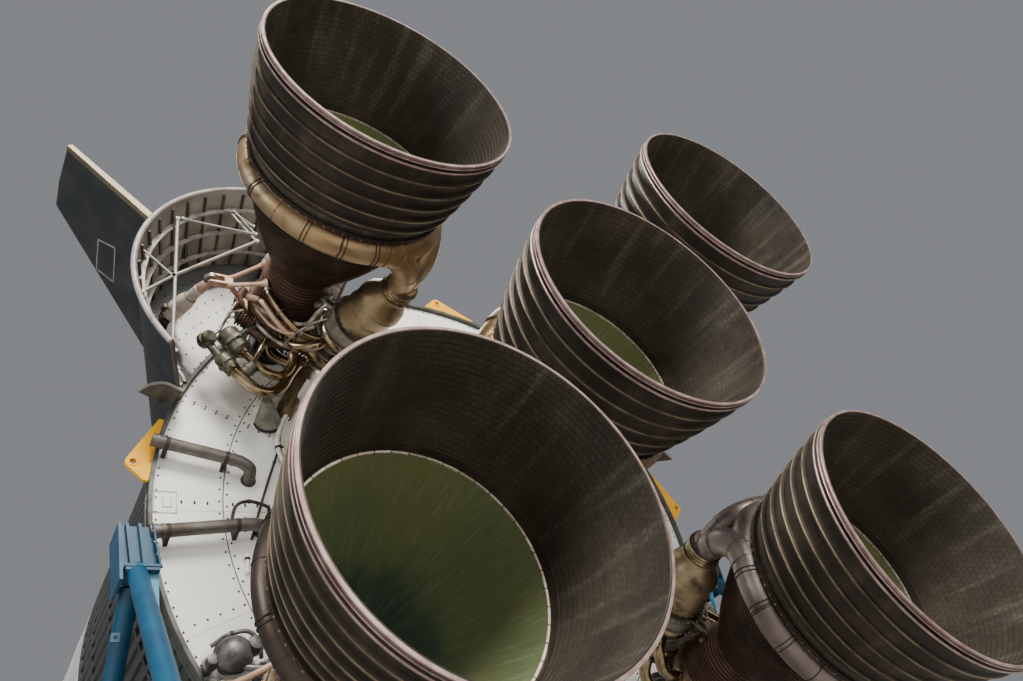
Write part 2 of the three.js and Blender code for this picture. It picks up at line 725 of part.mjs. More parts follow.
// An eye's outside and its hole, both made longer across the rod by the slot
function eye(holeR, slot = 0) {
  const long = (r, half) => {
    const ring = bar([0, 0, -half], [0, 0, half], r, BALL_SIDES);
    if (!slot) return ring;
    const middle = block([-r, -slot, -half], [r, slot, half]);
    return join(ring.translate([0, slot, 0]), ring.translate([0, -slot, 0]), middle);
  };
  // the actuator leans by about half a side, so that the hole's flats face the ball's corners
  return { outer: long(holeR + EYE_R - BALL, EYE_HALF), hole: long(holeR, EYE_HALF + LAP) };
}

function actuatorBarrel() {
  const { outer, hole } = eye(EYE_HOLE_R);
  const tube = bar([BARREL.start, 0, 0], [BARREL.end, 0, 0], BARREL.radius, 12);
  const neck = block(
    [NECK_START, -EYE_HALF, -EYE_HALF],
    [BARREL.start + LAP, EYE_HALF, EYE_HALF],
  );
  const bore = bar(
    [ROD.start - STROKE - LAP, 0, 0],
    [BARREL.end + LAP, 0, 0],
    ROD.radius + 1.2 * GAP,
    ROD.sides,
  );
  return cut(join(outer, neck, tube), hole, bore);
}

function actuatorRod(slot) {
  const { outer, hole } = eye(ROD_EYE_HOLE_R, slot);
  const atEnd = (solid) => solid.translate([ACTUATOR_LENGTH, 0, 0]);
  const shaft = bar([ROD.start, 0, 0], [ROD_END, 0, 0], ROD.radius, ROD.sides);
  return cut(join(atEnd(outer), shaft), atEnd(hole));
}

for (const engine of OUTER_ENGINES) {
  const place = [engine.x, GIMBAL_Y, engine.z];
  const outboard = THREE.MathUtils.radToDeg(Math.atan2(engine.z, engine.x));
  const group = new THREE.Group();
  group.position.set(...place);
  group.rotation.y = -rad(outboard);
  stage.add(group);
  // the two outriggers point along the stage's X and Z axes, 45 degrees to each side of outboard
  addEngine(engine.name, group, [-45, 45], engineYoke().rotate([0, outboard, 0]));
  add("gimbal_block_" + engine.name, gimbalBlock().translate(place), "steel");

  for (const alongX of [true, false]) {
    const outward = alongX ? [engine.side, 0, 0] : [0, 0, engine.level];
    const ball = place.map((v, i) => v + outward[i] * STAGE_BALL_R);
    const direction = outward.map((v) => v * (ENGINE_BALL_R - STAGE_BALL_R));
    direction[1] = -ENGINE_BALL_T;
    const across = new THREE.Vector3(...direction)
      .cross(new THREE.Vector3(...(alongX ? [0, 0, 1] : [1, 0, 0])))
      .toArray();
    const suffix = (alongX ? "side_" : "level_") + engine.name;
    const set = (solid) => placed(solid, ball, direction, across);
    add("actuator_barrel_" + suffix, set(actuatorBarrel()), "copper");
    add("actuator_rod_" + suffix, set(actuatorRod(alongX ? 0 : ROD_EYE_SLOT)), "rod");
  }
}

// Stands: each is a bracket bolted to the side of the body and an A-frame of pipe down to the floor
const STAND = { x: 5210, pipeR: 125, tieR: 95, footHalf: 420, footThick: 50, tieZ: -4100 };
// columns: name, middle y, y from the middle to a leg's top and to its foot, body radius there
const STANDS = [
  ["aft_stand", 5650, 200, 6450, RING_R],
  ["forward_stand", 40400, 200, 1150, BODY_R],
];
const FOOT_RUN = 0.02; // the legs run on by this share of their length, to be cut off flat
// A bracket is three plates side by side, along the body, on a web across it, over a flange
const BRACKET = { topZ: -650, flangeZ: -1270, halfY: 300, plate: 20, lip: 40 };
// columns: distance of a plate's outer face from the body, and its lower edge
const BRACKET_PLATES = [
  [390, -1450],
  [240, BRACKET.flangeZ],
  [90, BRACKET.flangeZ],
];
const BRACKET_IN_X = -4700; // inside the body, to be cut off along its skin

function stand([, middleY, topY, footY, bodyR]) {
  const floor = -AXIS_HEIGHT;
  const reach = footY + 2 * STAND.footHalf;
  const aboveFlange = block(
    [-2 * STAND.x, middleY - reach, BRACKET.flangeZ],
    [0, middleY + reach, 0],
  );
  const legs = [-1, 1].map((s) => {
    const top = [-STAND.x, middleY + s * topY, BRACKET.flangeZ];
    const foot = [-STAND.x, middleY + s * footY, floor];
    const below = foot.map((v, i) => v + (v - top[i]) * FOOT_RUN);
    return cut(bar(top, below, STAND.pipeR, 8), aboveFlange);
  });
  const share = (BRACKET.flangeZ - STAND.tieZ) / (BRACKET.flangeZ - floor);
  const tieY = topY + (footY - topY) * share;
  const tie = bar(
    [-STAND.x, middleY - tieY, STAND.tieZ],
    [-STAND.x, middleY + tieY, STAND.tieZ],
    STAND.tieR,
    6,
  );
  const feet = [-1, 1].map((s) =>
    block(
      [-STAND.x - STAND.footHalf, middleY + s * footY - STAND.footHalf, floor],
      [-STAND.x + STAND.footHalf, middleY + s * footY + STAND.footHalf, floor + STAND.footThick],
    ),
  );
  const [[outDepth]] = BRACKET_PLATES;
  const lowY = middleY - BRACKET.halfY;
  const highY = middleY + BRACKET.halfY;
  const plates = BRACKET_PLATES.map(([depth, lowZ]) =>
    block(
      [-bodyR - depth, lowY, lowZ],
      [-bodyR - depth + 2 * BRACKET.plate, highY, BRACKET.topZ],
    ),
  );
  const web = block(
    [-bodyR - outDepth, middleY - BRACKET.plate, BRACKET.flangeZ],
    [BRACKET_IN_X, middleY + BRACKET.plate, BRACKET.topZ],
  );
  const flange = block(
    [-bodyR - outDepth, lowY - BRACKET.lip, BRACKET.flangeZ - BRACKET.plate],
    [BRACKET_IN_X, highY + BRACKET.lip, BRACKET.flangeZ + BRACKET.plate],
  );
  const body = disc(bodyR + GAP, 0, FRONT_Y, BODY_SIDES);
  const ground = block(
    [-2 * STAND.x, middleY - reach, floor - BODY_R],
    [0, middleY + reach, floor],
  );
  return cut(join(legs, tie, feet, plates, web, flange), body, ground);
}

for (const row of STANDS) {
  add(row[0] + "_left", stand(row), "blue");
  add(row[0] + "_right", mirrorX(stand(row)), "blue");
}

// The model stands on the floor, with its origin midway along its length
const AFT_END_Y = STANDS[0][1] - STANDS[0][3] - STAND.footHalf;
const model = new THREE.Group();
model.add(stage);
model.scale.setScalar(SCALE);
model.position.set(0, (-SCALE * (AFT_END_Y + FRONT_Y)) / 2, SCALE * AXIS_HEIGHT);

export default model;
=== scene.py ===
import math

import bmesh
import bpy
from mathutils import Matrix, Vector


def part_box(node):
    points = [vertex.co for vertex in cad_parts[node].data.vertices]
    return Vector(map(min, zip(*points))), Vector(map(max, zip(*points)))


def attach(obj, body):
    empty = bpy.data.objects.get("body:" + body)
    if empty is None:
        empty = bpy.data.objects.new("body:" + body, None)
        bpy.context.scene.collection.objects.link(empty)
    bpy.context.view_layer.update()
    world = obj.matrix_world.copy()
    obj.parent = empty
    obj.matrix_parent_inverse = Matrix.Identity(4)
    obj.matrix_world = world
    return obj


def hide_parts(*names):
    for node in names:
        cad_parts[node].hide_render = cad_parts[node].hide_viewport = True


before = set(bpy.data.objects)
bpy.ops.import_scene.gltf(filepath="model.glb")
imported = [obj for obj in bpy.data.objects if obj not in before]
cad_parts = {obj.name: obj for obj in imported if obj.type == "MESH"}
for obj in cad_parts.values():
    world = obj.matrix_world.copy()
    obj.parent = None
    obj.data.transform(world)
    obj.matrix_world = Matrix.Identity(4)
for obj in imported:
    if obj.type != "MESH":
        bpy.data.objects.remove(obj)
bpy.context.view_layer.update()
scene = bpy.context.scene

# The real stage's axes
# Pieces are drawn in the real stage's metres: X to the right seen from behind, Y forward from the
# plane of the engines' exits, Z up from the centre line. STAGE halves them and puts them in place.
SCALE = 0.5
exit_low, exit_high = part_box("nozzle_extension_center")
STAGE = Matrix.Translation((0, exit_low.y, (exit_low.z + exit_high.z) / 2)) @ Matrix.Scale(SCALE, 4)

# The viewer stands on the floor to the lower left, close behind the stage, and looks up.
EYE = Vector((-7.009, -4.969, -6.749))
AZIMUTH, ELEVATION, ROLL = 41.15, 38.80, 17.32
camera = bpy.data.objects.new("camera", bpy.data.cameras.new("camera"))
camera.data.sensor_width = 36
camera.data.lens = 28.52
camera.matrix_world = (
    Matrix.Translation(STAGE @ EYE)
    @ Matrix.Rotation(math.radians(-AZIMUTH), 4, "Z")
    @ Matrix.Rotation(math.radians(90 + ELEVATION), 4, "X")
    @ Matrix.Rotation(math.radians(-ROLL), 4, "Z")
)
camera.data.clip_start = 0.05
camera.data.clip_end = 400
scene.collection.objects.link(camera)
scene.camera = camera


# Tanks and skirts
# Two aluminium tanks with a corrugated skirt between them and one before them, welded from milled
# plates and painted white, with black over the quarters at the sides of the skirts.
class Shell:
    """The points and faces of a piece, gathered from turned, swept and flat parts."""

    def __init__(self):
        self.points, self.faces, self.finishes = [], [], []

    def net(self, rows, finish=0, round_rows=True, closed=False, ends=False):
        """A skin over rows of points; ends fills the first and the last row. The finish is a
        number, a list of one for each row, or a function of the row and the column."""
        start, wide = len(self.points), len(rows[0])
        for row in rows:
            self.points.extend(tuple(point) for point in row)
        count = len(rows) if closed else len(rows) - 1
        pick = finish
        if not callable(finish):
            pick = lambda i, j: finish[i] if isinstance(finish, list) else finish
        for i in range(count):
            near, far = start + i * wide, start + (i + 1) % len(rows) * wide
            for j in range(wide if round_rows else wide - 1):
                k = (j + 1) % wide
                self.faces.append((near + j, near + k, far + k, far + j))
                self.finishes.append(pick(i, j))
        if ends:
            last = start + (len(rows) - 1) * wide
            self.faces += [tuple(range(start, start + wide)), tuple(range(last, last + wide))]
            self.finishes += [pick(0, 0), pick(count - 1, 0)]
        return self

    def turned(self, profile, sides=96, finish=0, closed=False, ends=False, middle=(0, 0), arc=None):
        """[radius, y] points turned about a line along Y; arc gives the first and last degrees."""
        first, last = arc or (0, 360)
        count = sides if arc is None else sides + 1
        angles = [math.radians(first + (last - first) * k / sides) for k in range(count)]
        loops = [
            [(middle[0] + r * math.cos(a), y, middle[1] + r * math.sin(a)) for r, y in profile]
            for a in angles
        ]
        if arc is None:
            rows = [list(row) for row in zip(*loops)]
            return self.net(rows, finish, closed=closed, ends=ends)
        return self.net(loops, finish, ends=True)

    def ring(self, radius, y, tube, sides=96, around=8, finish=0, middle=(0, 0), arc=None):
        """A round ring, or an arc of one, about a line along Y."""
        angles = [2 * math.pi * k / around for k in range(around)]
        profile = [(radius + tube * math.cos(a), y + tube * math.sin(a)) for a in angles]
        return self.turned(profile, sides, finish, closed=True, middle=middle, arc=arc)

    def pipe(self, path, radius, sides=12, finish=0):
        """A round pipe along points; radius is one number or one for each point."""
        path = [Vector(point) for point in path]
        radii = radius if isinstance(radius, list) else [radius] * len(path)
        side, rows = None, []
        for i, point in enumerate(path):
            along = path[min(i + 1, len(path) - 1)] - path[max(i - 1, 0)]
            along.normalize()
            if side is None:
                side = along.orthogonal().normalized()
            side = (side - along * side.dot(along)).normalized()
            other = along.cross(side)
            angles = [2 * math.pi * k / sides for k in range(sides)]
            rows.append([point + radii[i] * (math.cos(a) * side + math.sin(a) * other) for a in angles])
        return self.net(rows, finish, ends=True)

    def block(self, low, high, place=Matrix(), finish=0):
        corners = [(low[0], low[1]), (high[0], low[1]), (high[0], high[1]), (low[0], high[1])]
        return self.slab(corners, low[2], high[2], place, finish)

    def slab(self, outline, low, high, place=Matrix(), finish=0):
        """A flat outline of [x, y] points with thickness along Z."""
        rows = [[place @ Vector((x, y, z)) for x, y in outline] for z in (low, high)]
        return self.net(rows, finish, ends=True)

    def stud(self, point, direction, radius, height, sides=6, finish=0):
        """A bolt or rivet head that stands on a point."""
        foot, up = Vector(point), Vector(direction).normalized()
        levels = [foot - up * height * 0.4, foot + up * height * 0.7, foot + up * height]
        return self.pipe(levels, [radius, radius, radius * 0.75], sides, finish)

    def bolts(self, count, radius, y, size, finish, along=0):
        """Bolt heads in a circle about a line along Y. They face outwards, or along Y."""
        for k in range(count):
            a = 2 * math.pi * k / count
            out = (math.cos(a), 0, math.sin(a))
            facing = (0, along, 0) if along else out
            self.stud((radius * out[0], y, radius * out[2]), facing, *size, 6, finish)

    def band(self, path, k, half, radius, sides, finish):
        """A short collar round a pipe, at one of its points."""
        axis = (path[k + 1] - path[k]).normalized() * half
        self.pipe([path[k] - axis, path[k] + axis], radius, sides, finish)

    def include(self, other, place):
        """Another shell's parts, moved to a place."""
        start = len(self.points)
        self.points += [tuple(place @ Vector(point)) for point in other.points]
        self.faces += [tuple(start + i for i in face) for face in other.faces]
        self.finishes += other.finishes
        return self

    def mesh(self, name, finishes, sharp=32):
        made = bpy.data.meshes.new(name)
        made.from_pydata(self.points, [], self.faces)
        for finish in finishes:
            made.materials.append(finish.material)
        made.polygons.foreach_set("material_index", self.finishes)
        made.polygons.foreach_set("use_smooth", [True] * len(self.faces))
        work = bmesh.new()
        work.from_mesh(made)
        bmesh.ops.recalc_face_normals(work, faces=work.faces)
        work.to_mesh(made)
        work.free()
        made.set_sharp_from_angle(angle=math.radians(sharp))
        made.update()
        return made


def hang(name, mesh, place, body, slot, *nodes):
    """Puts a mesh in its place on a body and hides the parts of the nodes it stands for; slot is not used.
    """
    piece = bpy.data.objects.new(name, mesh)
    piece.matrix_world = place
    scene.collection.objects.link(piece)
    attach(piece, body)
    if nodes:
        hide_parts(*nodes)


def fasten(name, shell, finishes, slot, *nodes, sharp=32):
    """Hangs a shell on the stage itself."""
    hang(name, shell.mesh(name, finishes, sharp), STAGE, "stage", slot, *nodes)


class Socket:
    """A value in a finish; arithmetic on it adds the Math nodes."""

    def __init__(self, finish, link):
        self.finish, self.link = finish, link

    def math(self, operation, *others):
        return self.finish.node("Math", {"operation": operation}, dict(enumerate((self, *others))))

    def __add__(self, other):
        return self.math("ADD", other)

    def __sub__(self, other):
        return self.math("SUBTRACT", other)

    def __mul__(self, other):
        return self.math("MULTIPLY", other)

    def __pow__(self, other):
        return self.math("POWER", other)

    def __gt__(self, other):
        return self.math("GREATER_THAN", other)

    def __lt__(self, other):
        return self.math("LESS_THAN", other)

    __radd__, __rmul__ = __add__, __mul__

    def step(self, low, high):
        """0 below low, 1 above high, and a smooth rise between; low may be the higher one."""
        smoothed = {"interpolation_type": "SMOOTHSTEP"}
        return self.finish.node("MapRange", smoothed, {0: self, 1: low, 2: high})

    def near(self, pitch, width):
        """1 at each multiple of a pitch, falling to 0 at a width from it."""
        return self.math("PINGPONG", pitch / 2).step(width, width * 0.5)


class Finish:
    """A paint or a bare metal: its nodes and the shader they feed."""

    def __init__(self, name, **constants):
        self.material = bpy.data.materials.new(name)
        self.material.use_nodes = True
        self.tree = self.material.node_tree
        self.shader = self.tree.nodes["Principled BSDF"]
        self.looks(**constants)
        self.spot = self.node("TexCoord", {}, {}, "Object")

    def node(self, kind, settings, sockets, out=0):
        made = self.tree.nodes.new("ShaderNode" + kind)
        for name, value in settings.items():
            setattr(made, name, value)
        for name, value in sockets.items():
            self.feed(made.inputs[name], value)
        return Socket(self, made.outputs[out])

    def feed(self, target, value):
        if isinstance(value, Socket):
            self.tree.links.new(value.link, target)
        elif target.type == "RGBA":
            target.default_value = (*value, 1)
        else:
            target.default_value = value

    def looks(self, **values):
        """Sets or feeds the shader's sockets: base_color is Base Color."""
        for name, value in values.items():
            self.feed(self.shader.inputs[name.replace("_", " ").title()], value)
        return self

    def mix(self, mask, first, second):
        """The first colour where the mask is 0, the second where it is 1."""
        return self.node("Mix", {"data_type": "RGBA"}, {0: mask, 6: first, 7: second}, 2)

    def noise(self, scale, detail=3, spot=None, roughness=0.55):
        sockets = {"Vector": spot or self.spot, "Scale": scale, "Detail": detail}
        sockets["Roughness"] = roughness
        return self.node("TexNoise", {"noise_dimensions": "3D"}, sockets)

    def axes(self):
        """The spot's x, y and z."""
        return [self.node("SeparateXYZ", {}, {0: self.spot}, out) for out in range(3)]

    def turns(self):
        """The angle about the Y axis, in radians, the place along it and the distance from it."""
        x, y, z = self.axes()
        return z.math("ARCTAN2", x), y, (x * x + z * z) ** 0.5

    def vector(self, x, y, z):
        return self.node("CombineXYZ", {}, {0: x, 1: y, 2: z})

    def bump(self, height, depth, strength=1.0):
        """Lets a height from 0 to 1 stand up by a depth in metres."""
        sockets = {"Height": height, "Distance": depth * SCALE, "Strength": strength}
        return self.looks(normal=self.node("Bump", {}, sockets))


def mottled(name, cloud, between, first, second, rough, swing=0.0, grain=None, **constants):
    """A finish of two colours. A noise of a scale and a detail turns the first to the second
    between two values and adds up to swing to the roughness. Grain is the scale and detail of
    a bump's noise, its depth and its strength."""
    made = Finish(name, **constants)
    clouds = made.noise(*cloud)
    made.looks(base_color=made.mix(clouds.step(*between), first, second))
    made.looks(roughness=rough + clouds * swing if swing else rough)
    if grain:
        scale, detail, depth, strength = grain
        made.bump(made.noise(scale, detail), depth, strength)
    return made


BODY_R, BODY_SIDES = 5.03, 180
SHIELD_Y, SHIELD_THICK = 5.72, 0.04
FUEL_TANK_Y, INTERTANK_Y, OXIDIZER_TANK_Y = 11.712, 19.390, 26.096
FORWARD_SKIRT_Y, FRONT_Y = 39.000, 42.073
SKIN_IN, LAND, LAND_FLANK = 0.008, 0.10, 0.02  # plates lie back from the welded lands between them
SKIN_WALL, EDGE = 0.06, 0.02
WHITE, BLACK = (0.74, 0.73, 0.69), (0.014, 0.014, 0.016)
RAIN_BROWN, SEAM_BROWN = (0.33, 0.31, 0.27), (0.16, 0.15, 0.14)
EIGHTH_TURN, SIXTEENTH_TURN, NO_SEAMS = 0.7854, 0.3927, 50


def body_paint(name, quartered=False, seams=EIGHTH_TURN, runs=3.1):
    """Satin white over plates; a quartered body has black over the quarters at its sides."""
    made = Finish(name, metallic=0.0, coat_weight=0.25)
    angle, along, _ = made.turns()
    lines = (angle.near(seams, 0.0035) + along.near(runs, 0.018)).math("MINIMUM", 1.0)
    rain = made.noise(1.0, 4, made.vector(angle * 14, along * 0.35, 1.0))
    smut = made.noise(0.35, 5)
    paint = made.mix(smut.step(0.40, 0.75), WHITE, tuple(0.80 * part for part in WHITE))
    paint = made.mix(rain.step(0.52, 0.86) * 0.35, paint, RAIN_BROWN)
    if quartered:
        at_side = angle.math("COSINE").math("ABSOLUTE") > 0.7071
        paint = made.mix(at_side, paint, BLACK)
    made.looks(base_color=made.mix(lines * 0.45, paint, SEAM_BROWN))
    made.looks(roughness=0.30 + smut * 0.25 + rain * 0.12)
    made.bump(made.noise(1.6, 2) * 0.6 + lines * 0.4, 0.006, 0.35)
    return made


def corrugations(shell, count, low, high, depth, proud):
    """A skin of hat-shaped ribs along the body; proud is the share of the pitch they take."""
    flank = 0.09
    shape = [(0.5 - proud / 2 - flank, 0), (0.5 - proud / 2, depth), (0.5 + proud / 2, depth)]
    shape += [(0.5 + proud / 2 + flank, 0)]
    rows = []
    for y, wall in ((low, None), (high, None), (high, SKIN_WALL), (low, SKIN_WALL)):
        row = []
        for rib in range(count):
            for share, height in shape:
                a = 2 * math.pi * (rib + share) / count
                r = BODY_R - depth + height if wall is None else BODY_R - depth - wall
                row.append((r * math.cos(a), y, r * math.sin(a)))
        rows.append(row)
    shell.net(rows, closed=True)


def hoop(shell, y, deep, inside, outside=BODY_R, bevel=0.0):
    """A plain ring round the body, from y on."""
    section = [(inside, y), (outside, y + bevel), (outside, y + deep - bevel), (inside, y + deep)]
    shell.turned(section, BODY_SIDES, closed=True)


def plated(shell, low, high, lands):
    """A tank's wall from its low end to its high end: plates between welded lands."""
    profile = [(BODY_R - EDGE, low), (BODY_R, low + 0.01), (BODY_R, low + LAND)]
    for land in lands:
        middle = low + (high - low) * land
        profile += [(BODY_R - SKIN_IN, middle - LAND - LAND_FLANK), (BODY_R, middle - LAND)]
        profile += [(BODY_R, middle + LAND), (BODY_R - SKIN_IN, middle + LAND + LAND_FLANK)]
    profile += [(BODY_R, high - 0.01), (BODY_R - EDGE, high)]
    profile += [(BODY_R - SKIN_WALL, high), (BODY_R - SKIN_WALL, low)]
    shell.turned(profile, BODY_SIDES, closed=True)


FLAT_PLATES = 12  # degrees between faces that keep their edge sharp
fuel_tank = Shell()
plated(fuel_tank, FUEL_TANK_Y, INTERTANK_Y, [0.25, 0.55, 0.85])
white_plates = body_paint("white_plates")
fasten("fuel_tank_plates", fuel_tank, [white_plates], "white_paint", "fuel_tank", sharp=FLAT_PLATES)

intertank = Shell()
corrugations(intertank, 216, INTERTANK_Y + 0.25, OXIDIZER_TANK_Y - 0.25, 0.036, 0.40)
for y in (INTERTANK_Y, OXIDIZER_TANK_Y - 0.28):
    hoop(intertank, y, 0.28, 4.95, bevel=0.01)
for y in (21.3, 22.9, 24.4):
    hoop(intertank, y, 0.06, 4.96, BODY_R - 0.004)
quartered = body_paint("quartered_skirt", True, SIXTEENTH_TURN, NO_SEAMS)
fasten("intertank_corrugated", intertank, [quartered], "white_paint", "intertank")

# The front dome's gores are spot-welded and left bare but for a grey-green wash
DOME_R, DOME_HEIGHT, DOME_STEPS, CAP_R = 4.85, 2.9, 18, 0.42
DOME_TOP_Y = FORWARD_SKIRT_Y + DOME_HEIGHT
oxidizer_tank = Shell()
plated(oxidizer_tank, OXIDIZER_TANK_Y, FORWARD_SKIRT_Y, [0.2, 0.4, 0.6, 0.8])
rises = [math.pi / 2 * k / DOME_STEPS for k in range(DOME_STEPS)]
dome = [(DOME_R - 0.2, FORWARD_SKIRT_Y - 0.1)]
dome += [(DOME_R * math.cos(a), FORWARD_SKIRT_Y + DOME_HEIGHT * math.sin(a)) for a in rises]
dome += [(CAP_R, DOME_TOP_Y), (CAP_R, DOME_TOP_Y + 0.03)]
oxidizer_tank.turned(dome, 120, 1, ends=True)
oxidizer_tank.bolts(36, CAP_R - 0.05, DOME_TOP_Y + 0.03, (0.018, 0.03), 1, along=1)
gores = Finish("bare_gores", metallic=0.85)
angle, along, radius = gores.turns()
seams = (angle.near(math.pi / 4, 0.006) + radius.near(1.9, 0.02)).math("MINIMUM", 1.0)
cloud = gores.noise(0.7, 5)
washed = gores.mix(cloud.step(0.35, 0.7), (0.52, 0.52, 0.48), (0.36, 0.38, 0.33))
gores.looks(base_color=gores.mix(seams * 0.6, washed, (0.70, 0.69, 0.66)))
gores.looks(roughness=0.30 + cloud * 0.3)
gores.bump(seams, 0.004, 0.8)
fasten("oxidizer_tank_plates", oxidizer_tank, [white_plates, gores], "white_paint", "oxidizer_tank",
       sharp=FLAT_PLATES)

# The skirt's ring frames and the bolts of its front ring show from the front
FRAME_IN_R, FRAME_OUT_R, FRAME_HALF, WEB_HALF = 4.79, 4.965, 0.05, 0.008
skirt = Shell()
corrugations(skirt, 216, FORWARD_SKIRT_Y + 0.22, FRONT_Y - 0.20, 0.030, 0.30)
for y, deep in ((FORWARD_SKIRT_Y + 0.001, 0.24), (FRONT_Y - 0.22, 0.22)):
    hoop(skirt, y, deep, 4.93, bevel=0.004)
inner, cap, web = FRAME_OUT_R - 0.01, FRAME_IN_R + 0.01, FRAME_HALF - 0.005
for y in (39.7, 40.35, 41.0, 41.6):
    section = [
        (FRAME_OUT_R, y - FRAME_HALF), (FRAME_OUT_R, y + FRAME_HALF), (inner, y + FRAME_HALF),
        (inner, y + WEB_HALF), (cap, y + WEB_HALF), (cap, y + web), (FRAME_IN_R, y + web),
        (FRAME_IN_R, y - web), (cap, y - web), (cap, y - WEB_HALF), (inner, y - WEB_HALF),
        (inner, y - FRAME_HALF),
    ]
    skirt.turned(section, 120, 1, closed=True)
front_ring = [(4.95, FRONT_Y - 0.06), (4.95, FRONT_Y), (FRAME_IN_R, FRONT_Y)]
front_ring += [(FRAME_IN_R, FRONT_Y - 0.03), (4.90, FRONT_Y - 0.06)]
skirt.turned(front_ring, 120, 1, closed=True)
skirt.bolts(108, 4.87, FRONT_Y - 0.008, (0.020, 0.006), 1, along=1)
primer = mottled("green_primer", (1.2, 5), (0.35, 0.7), (0.23, 0.235, 0.12), (0.34, 0.33, 0.19),
                 0.45, 0.2, (24, 3, 0.003, 0.3), metallic=0.1)
fasten("forward_skirt_frames", skirt, [quartered, primer], "white_paint", "forward_skirt")


# Tunnels
# Long sheet-metal covers along the top and the bottom carry pipes and cables past the tanks. They
# are screwed down in lengths, with a strap over each joint.
TUNNEL_START, TUNNEL_END, STRAP_PITCH, STRAP_HALF, STRAP_HIGH = 6.4, 41.3, 1.52, 0.045, 0.008
NOSE = 0.55


def tunnel_section(y, grow, share=1.0):
    """The cover's outline at a place along the body; share below 1 lowers it for the nose."""
    half, top, shoulder, height = 0.42 + grow, 0.252 + grow / 2, 0.182 * share + grow, 0.260 * share + grow
    corners = [(-half, -0.045), (-half, shoulder), (-top, height)]
    corners += [(top, height), (half, shoulder), (half, -0.045)]
    return [(x, y, BODY_R + z) for x, z in corners]


tunnel = Shell()
stations = [(TUNNEL_START, 0, 0.12), (TUNNEL_START + NOSE, 0, 1.0)]
strap_y = TUNNEL_START + NOSE + 0.3
while strap_y < TUNNEL_END - NOSE - 0.2:
    stations += [(strap_y - STRAP_HALF, 0, 1), (strap_y - STRAP_HALF, STRAP_HIGH, 1),
                 (strap_y + STRAP_HALF, STRAP_HIGH, 1), (strap_y + STRAP_HALF, 0, 1)]
    for x in (-0.2, -0.1, 0.0, 0.1, 0.2):
        tunnel.stud((x, strap_y, BODY_R + 0.26 + STRAP_HIGH), (0, 0, 1), 0.012, 0.006, 6, 0)
    strap_y += STRAP_PITCH
stations += [(TUNNEL_END - NOSE, 0, 1.0), (TUNNEL_END, 0, 0.12)]
tunnel.net([tunnel_section(*station) for station in stations], 0, ends=True)
cover_paint = Finish("tunnel_cover_paint", coat_weight=0.2)
x, y, z = cover_paint.axes()
film = cover_paint.noise(0.8, 5)
streak = cover_paint.noise(1.0, 3, cover_paint.vector(x * 6, y * 0.6, z * 0.5))
cover = cover_paint.mix(film.step(0.4, 0.75), (0.72, 0.71, 0.67), (0.56, 0.55, 0.51))
cover_paint.looks(base_color=cover_paint.mix(streak.step(0.55, 0.8) * 0.4, cover, (0.32, 0.30, 0.27)))
cover_paint.looks(roughness=0.34 + film * 0.2)
cover_paint.bump(cover_paint.noise(3, 2), 0.006, 0.3)
tunnel_mesh = tunnel.mesh("tunnel_cover", [cover_paint])
for where, turn in (("top", 0), ("bottom", 180)):
    hang("tunnel_cover_" + where, tunnel_mesh, STAGE @ Matrix.Rotation(math.radians(turn), 4, "Y"), "stage",
         "white_paint", "tunnel_" + where)


# Thrust structure
# A ribbed drum of aluminium plate takes the engines' push. Forged posts on it reach through the
# heat shield to the gimbals, and beams carry the actuators' stage ends out past the skin.
ENGINE_CIRCLE = 4.62
GIMBAL_Y = 5.47
# columns: name, direction of the engine's own X axis in degrees, distance from the centre line
ENGINE_ROWS = [
    ("center", 0, 0),
    ("upper_left", 135, ENGINE_CIRCLE),
    ("upper_right", 45, ENGINE_CIRCLE),
    ("lower_left", 225, ENGINE_CIRCLE),
    ("lower_right", 315, ENGINE_CIRCLE),
]


class Engine:
    """An engine's name, body and axes: gimbal at the origin, X outboard, nozzle towards -Y."""

    def __init__(self, name, degrees, reach):
        turn = math.radians(degrees)
        self.name = name
        self.body = "stage" if name == "center" else "engine_" + name
        self.x, self.z = reach * math.cos(turn), reach * math.sin(turn)
        self.side, self.level = math.copysign(1, self.x), math.copysign(1, self.z)
        self.outboard = degrees
        self.gimbal = Matrix.Translation((self.x, GIMBAL_Y, self.z))
        self.place = STAGE @ self.gimbal @ Matrix.Rotation(-turn, 4, "Y")


def axes_at(origin, x_axis, y_axis):
    """The place whose own X and Y axes point along two directions."""
    x, y = Vector(x_axis).normalized(), Vector(y_axis).normalized()
    turned = Matrix((x, y, x.cross(y))).transposed().to_4x4()
    return Matrix.Translation(origin) @ turned


def lug_outline(half, reach, steps=10):
    """A lug that is round about the origin and runs straight to a reach along X."""
    curve = [math.pi / 2 + math.pi * k / steps for k in range(steps + 1)]
    return [(half * math.cos(a), half * math.sin(a)) for a in curve] + [(reach, -half), (reach, half)]


engines = [Engine(*row) for row in ENGINE_ROWS]
outer_engines = engines[1:]

thrust = Shell()
corrugations(thrust, 144, SHIELD_Y + 0.30, FUEL_TANK_Y - 0.30, 0.045, 0.34)
for y in (SHIELD_Y + SHIELD_THICK + 0.002, FUEL_TANK_Y - 0.32):
    hoop(thrust, y, 0.30, 4.93, bevel=0.004)
for y in (7.3, 8.8, 10.3):
    hoop(thrust, y, 0.08, 4.96, BODY_R - 0.006)
side_dark = body_paint("dark_sided_drum", True, SIXTEENTH_TURN, NO_SEAMS)
fasten("thrust_drum", thrust, [side_dark], "black_paint", "thrust_structure")

